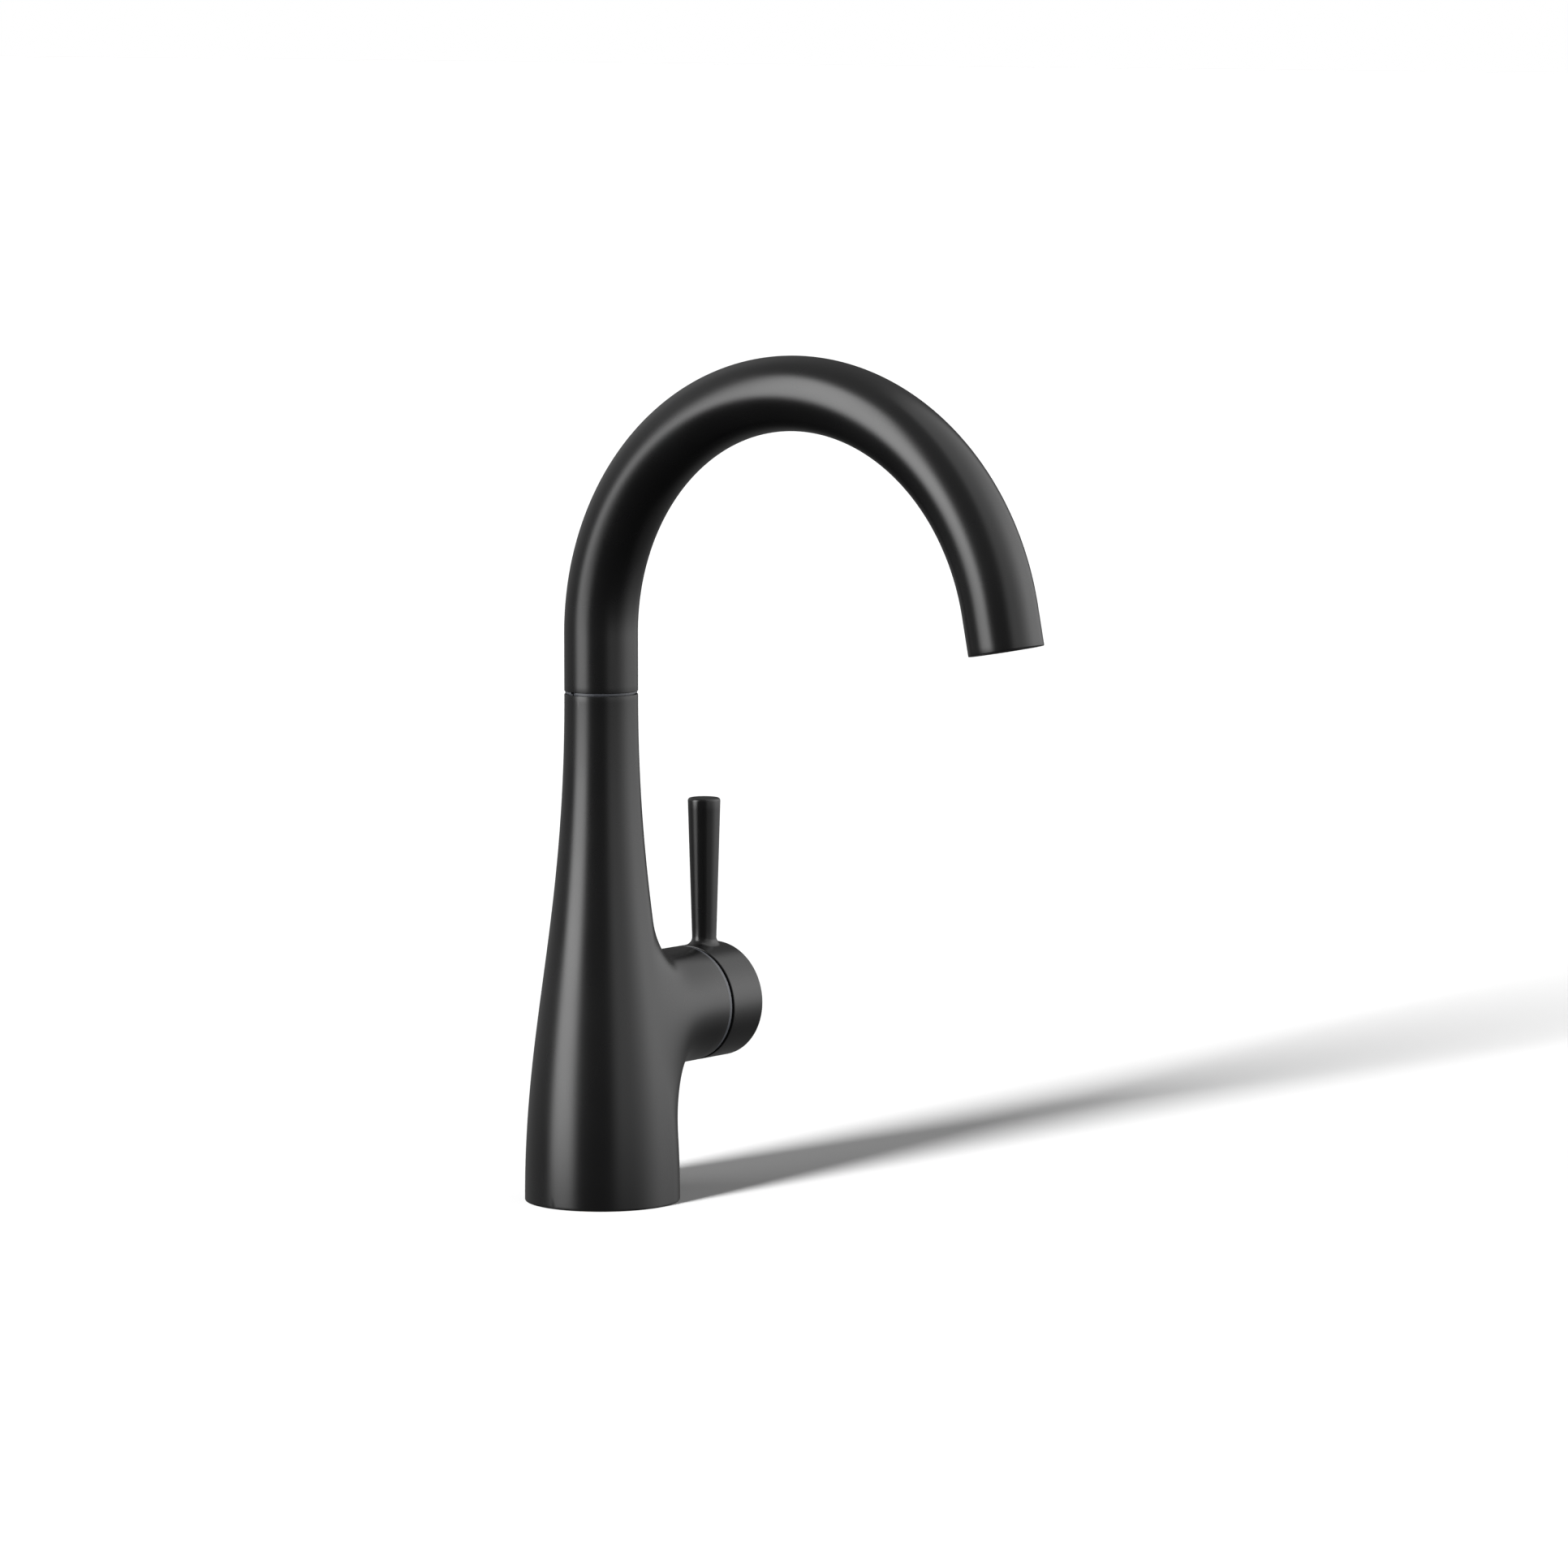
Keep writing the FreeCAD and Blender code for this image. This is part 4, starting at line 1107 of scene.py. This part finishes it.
@dataclass(frozen=True)
class SoftBox:
    """A soft light far off, as a window in the dark room round the object.

    Angles are in degrees. The bearing is from the camera's side, to its right, and falls by the lean
    for each degree above the box's middle.
    """

    bearing: float
    height: float
    half_width: float
    half_height: float
    softness: float
    strength: float
    lean: float = 0.0


class RoomTree(NodeTree):
    """The nodes of the world, with values that depend on the direction that a ray goes."""

    def __init__(self, world: World) -> None:
        """Starts from the direction in a world."""
        super().__init__(world)
        self.direction = self.add("ShaderNodeTexCoord").outputs["Generated"]

    def maths(self, operation: str, *inputs: NodeSocket | float) -> NodeSocket:
        """Adds a sum of values.

        Args:
            operation: What is done with the values.
            inputs: The values, from other nodes or fixed.

        Returns:
            The result.
        """
        node = self.add("ShaderNodeMath", operation=operation)
        for socket, value in zip(node.inputs, inputs):
            if isinstance(value, NodeSocket):
                self.links.new(value, socket)
            else:
                socket.default_value = value
        return node.outputs["Value"]

    def along(self, vector: Vector) -> NodeSocket:
        """Adds the direction's length along a vector."""
        node = self.add("ShaderNodeVectorMath", operation="DOT_PRODUCT")
        self.links.new(self.direction, node.inputs[0])
        node.inputs[1].default_value = vector
        return node.outputs["Value"]

    def rise(self) -> NodeSocket:
        """Adds the direction's angle above the horizon."""
        return self.maths("ARCSINE", self.along(Z_AXIS))

    def window(self, offset: NodeSocket, half: float, softness: float) -> NodeSocket:
        """Adds a value of 1 near a middle and 0 beyond it, with a soft edge.

        Args:
            offset: The angle from the middle.
            half: Degrees from the middle to where the edge is half bright.
            softness: Degrees from there to full and to no brightness.

        Returns:
            The value.
        """
        node = self.add("ShaderNodeMapRange", interpolation_type="SMOOTHSTEP")
        fill(node, From_Min=math.radians(half + softness), From_Max=math.radians(half - softness))
        self.links.new(self.maths("ABSOLUTE", offset), node.inputs["Value"])
        return node.outputs["Result"]


@dataclass
class Studio:
    """The camera where the photograph was taken from, the white floor and background, and the light.

    Angles are in degrees. The lens and the sensor are in millimetres.
    """

    camera_bearing: float = -52.449
    camera_height: float = 6.290
    camera_distance: float = 2.2626
    camera_aim: tuple[float, float, float] = (0.03378, -0.04394, 0.12759)
    clip_start: float = 0.05
    clip_end: float = 100.0
    lens: float = 171.107
    sensor: float = 36.0
    floor_size: float = 40.0
    floor_glow: float = 0.062
    far_glow: float = 0.12
    fade_start: float = 0.38
    fade_end: float = 0.70
    floor_colour: Colour = (0.16, 0.16, 0.16)
    key_bearing: float = -38.8
    key_height: float = 13.5
    key_width: float = 12.5
    key_strength: float = 70.0
    ambient: float = 0.03
    sky: float = 0.28
    sky_height: float = 60.0
    boxes: tuple[SoftBox, ...] = (
        SoftBox(
            bearing=-66.2, height=20.5, half_width=19, half_height=26.5,
            softness=8, strength=6.5, lean=0.17,
        ),
        SoftBox(bearing=-130, height=15, half_width=35, half_height=25, softness=20, strength=0.33),
        SoftBox(bearing=94, height=15.5, half_width=22, half_height=23.5, softness=28, strength=1.85),
        SoftBox(bearing=86, height=44, half_width=65, half_height=51, softness=10, strength=1.0),
        SoftBox(bearing=135, height=-32, half_width=60, half_height=25, softness=15, strength=0.12),
        SoftBox(bearing=4, height=4, half_width=40, half_height=16, softness=14, strength=0.08),
    )

    def towards(self, bearing: float, height: float) -> Vector:
        """Gives a direction from the object.

        Args:
            bearing: Degrees to the right of the camera, as seen from it.
            height: Degrees above the horizon.

        Returns:
            The direction, of length 1.
        """
        turn, rise = math.radians(self.camera_bearing + bearing), math.radians(height)
        flat = math.cos(rise)
        return Vector((math.sin(turn) * flat, -math.cos(turn) * flat, math.sin(rise)))

    def place_camera(self) -> None:
        """Sets up the camera."""
        data = bpy.data.cameras.new("photo_camera")
        data.lens = self.lens
        data.sensor_width = self.sensor
        data.clip_start, data.clip_end = self.clip_start, self.clip_end
        camera = bpy.data.objects.new("photo_camera", data)
        back = self.towards(0, self.camera_height)
        camera.location = Vector(self.camera_aim) + back * self.camera_distance
        camera.rotation_mode = "QUATERNION"
        camera.rotation_quaternion = (-back).to_track_quat("-Z", "Y")
        bpy.context.scene.collection.objects.link(camera)
        bpy.context.scene.camera = camera

    def floor_material(self) -> Material:
        """Makes the floor's material, which glows more far from the object and is clear from below."""
        tree = ShaderTree("white_floor")
        fill(tree.shader, Base_Color=(*self.floor_colour, 1), Emission_Color=WHITE)
        fill(tree.shader, Roughness=1.0, Specular_IOR_Level=0.0)
        away = tree.add("ShaderNodeVectorMath", operation="LENGTH")
        tree.links.new(tree.place, away.inputs[0])
        fade = tree.add("ShaderNodeMapRange", interpolation_type="SMOOTHSTEP")
        fill(fade, From_Min=self.fade_start, From_Max=self.fade_end)
        fill(fade, To_Min=self.floor_glow, To_Max=self.far_glow)
        tree.links.new(away.outputs["Value"], fade.inputs["Value"])
        tree.links.new(fade.outputs["Result"], tree.shader.inputs["Emission Strength"])
        below = tree.add("ShaderNodeNewGeometry").outputs["Backfacing"]
        tree.mix(below, tree.shader, tree.add("ShaderNodeBsdfTransparent"), "Material Output")
        return tree.material

    def lay_floor(self) -> Object:
        """Lays the white floor, which shows the object's shadow and lets views from below through.

        Returns:
            The floor.
        """
        bm = bmesh.new()
        bmesh.ops.create_grid(bm, x_segments=1, y_segments=1, size=self.floor_size / 2)
        mesh = bpy.data.meshes.new("floor")
        bm.to_mesh(mesh)
        bm.free()
        mesh.materials.append(self.floor_material())
        floor = bpy.data.objects.new("floor", mesh)
        bpy.context.scene.collection.objects.link(floor)
        floor.visible_diffuse = False
        floor.visible_glossy = False
        floor.visible_shadow = False
        return floor

    def hang_key(self, floor: Object) -> None:
        """Hangs the low light that throws the shadow on the floor.

        Args:
            floor: The floor, which is all that this light falls on.
        """
        data = bpy.data.lights.new("key", "SUN")
        data.energy = self.key_strength
        data.angle = math.radians(self.key_width)
        key = bpy.data.objects.new("key", data)
        key.rotation_mode = "QUATERNION"
        back = self.towards(self.key_bearing, self.key_height)
        key.rotation_quaternion = back.to_track_quat("Z", "Y")
        bpy.context.scene.collection.objects.link(key)
        lit = bpy.data.collections.new("lit_by_key")
        lit.objects.link(floor)
        key.light_linking.receiver_collection = lit

    def surround(self) -> None:
        """Builds the dark room with its soft boxes, white where the camera looks straight at it."""
        world = bpy.data.worlds.new("studio")
        bpy.context.scene.world = world
        tree = RoomTree(world)
        rise = tree.rise()
        sky = tree.add("ShaderNodeMapRange")
        fill(sky, From_Max=math.radians(self.sky_height))
        fill(sky, To_Min=self.ambient, To_Max=self.ambient + self.sky)
        tree.links.new(rise, sky.inputs["Value"])
        glow = sky.outputs["Result"]
        for box in self.boxes:
            ahead, beside = self.towards(box.bearing, 0), self.towards(box.bearing + 90, 0)
            sideways = tree.maths("ARCTAN2", tree.along(beside), tree.along(ahead))
            upwards = tree.maths("SUBTRACT", rise, math.radians(box.height))
            sideways = tree.maths("ADD", sideways, tree.maths("MULTIPLY", upwards, box.lean))
            across = tree.window(sideways, box.half_width, box.softness)
            shape = tree.maths("MULTIPLY", across, tree.window(upwards, box.half_height, box.softness))
            glow = tree.maths("ADD", tree.maths("MULTIPLY", shape, box.strength), glow)
        room, white = tree.nodes["Background"], tree.add("ShaderNodeBackground")
        for background in (room, white):
            fill(background, Color=WHITE)
        tree.links.new(glow, room.inputs["Strength"])
        rays = tree.add("ShaderNodeLightPath").outputs
        seen = tree.maths("MAXIMUM", rays["Is Camera Ray"], rays["Is Transmission Ray"])
        tree.mix(seen, room, white, "World Output")

    def build(self) -> None:
        """Sets up the camera, the floor and the light."""
        bpy.context.scene.view_settings.view_transform = "Standard"
        self.place_camera()
        self.hang_key(self.lay_floor())
        self.surround()


def main() -> None:
    """Builds the pieces and the studio."""
    logging.basicConfig(level=logging.INFO, format="%(name)s %(message)s")
    workshop = Workshop()
    for assembly in (FaucetBody(), Gooseneck(), LeverHandle(), GlideRing(), ThreadedShank(), Fittings()):
        assembly.build(workshop)
    Studio().build()


if __name__ == "__main__":
    main()
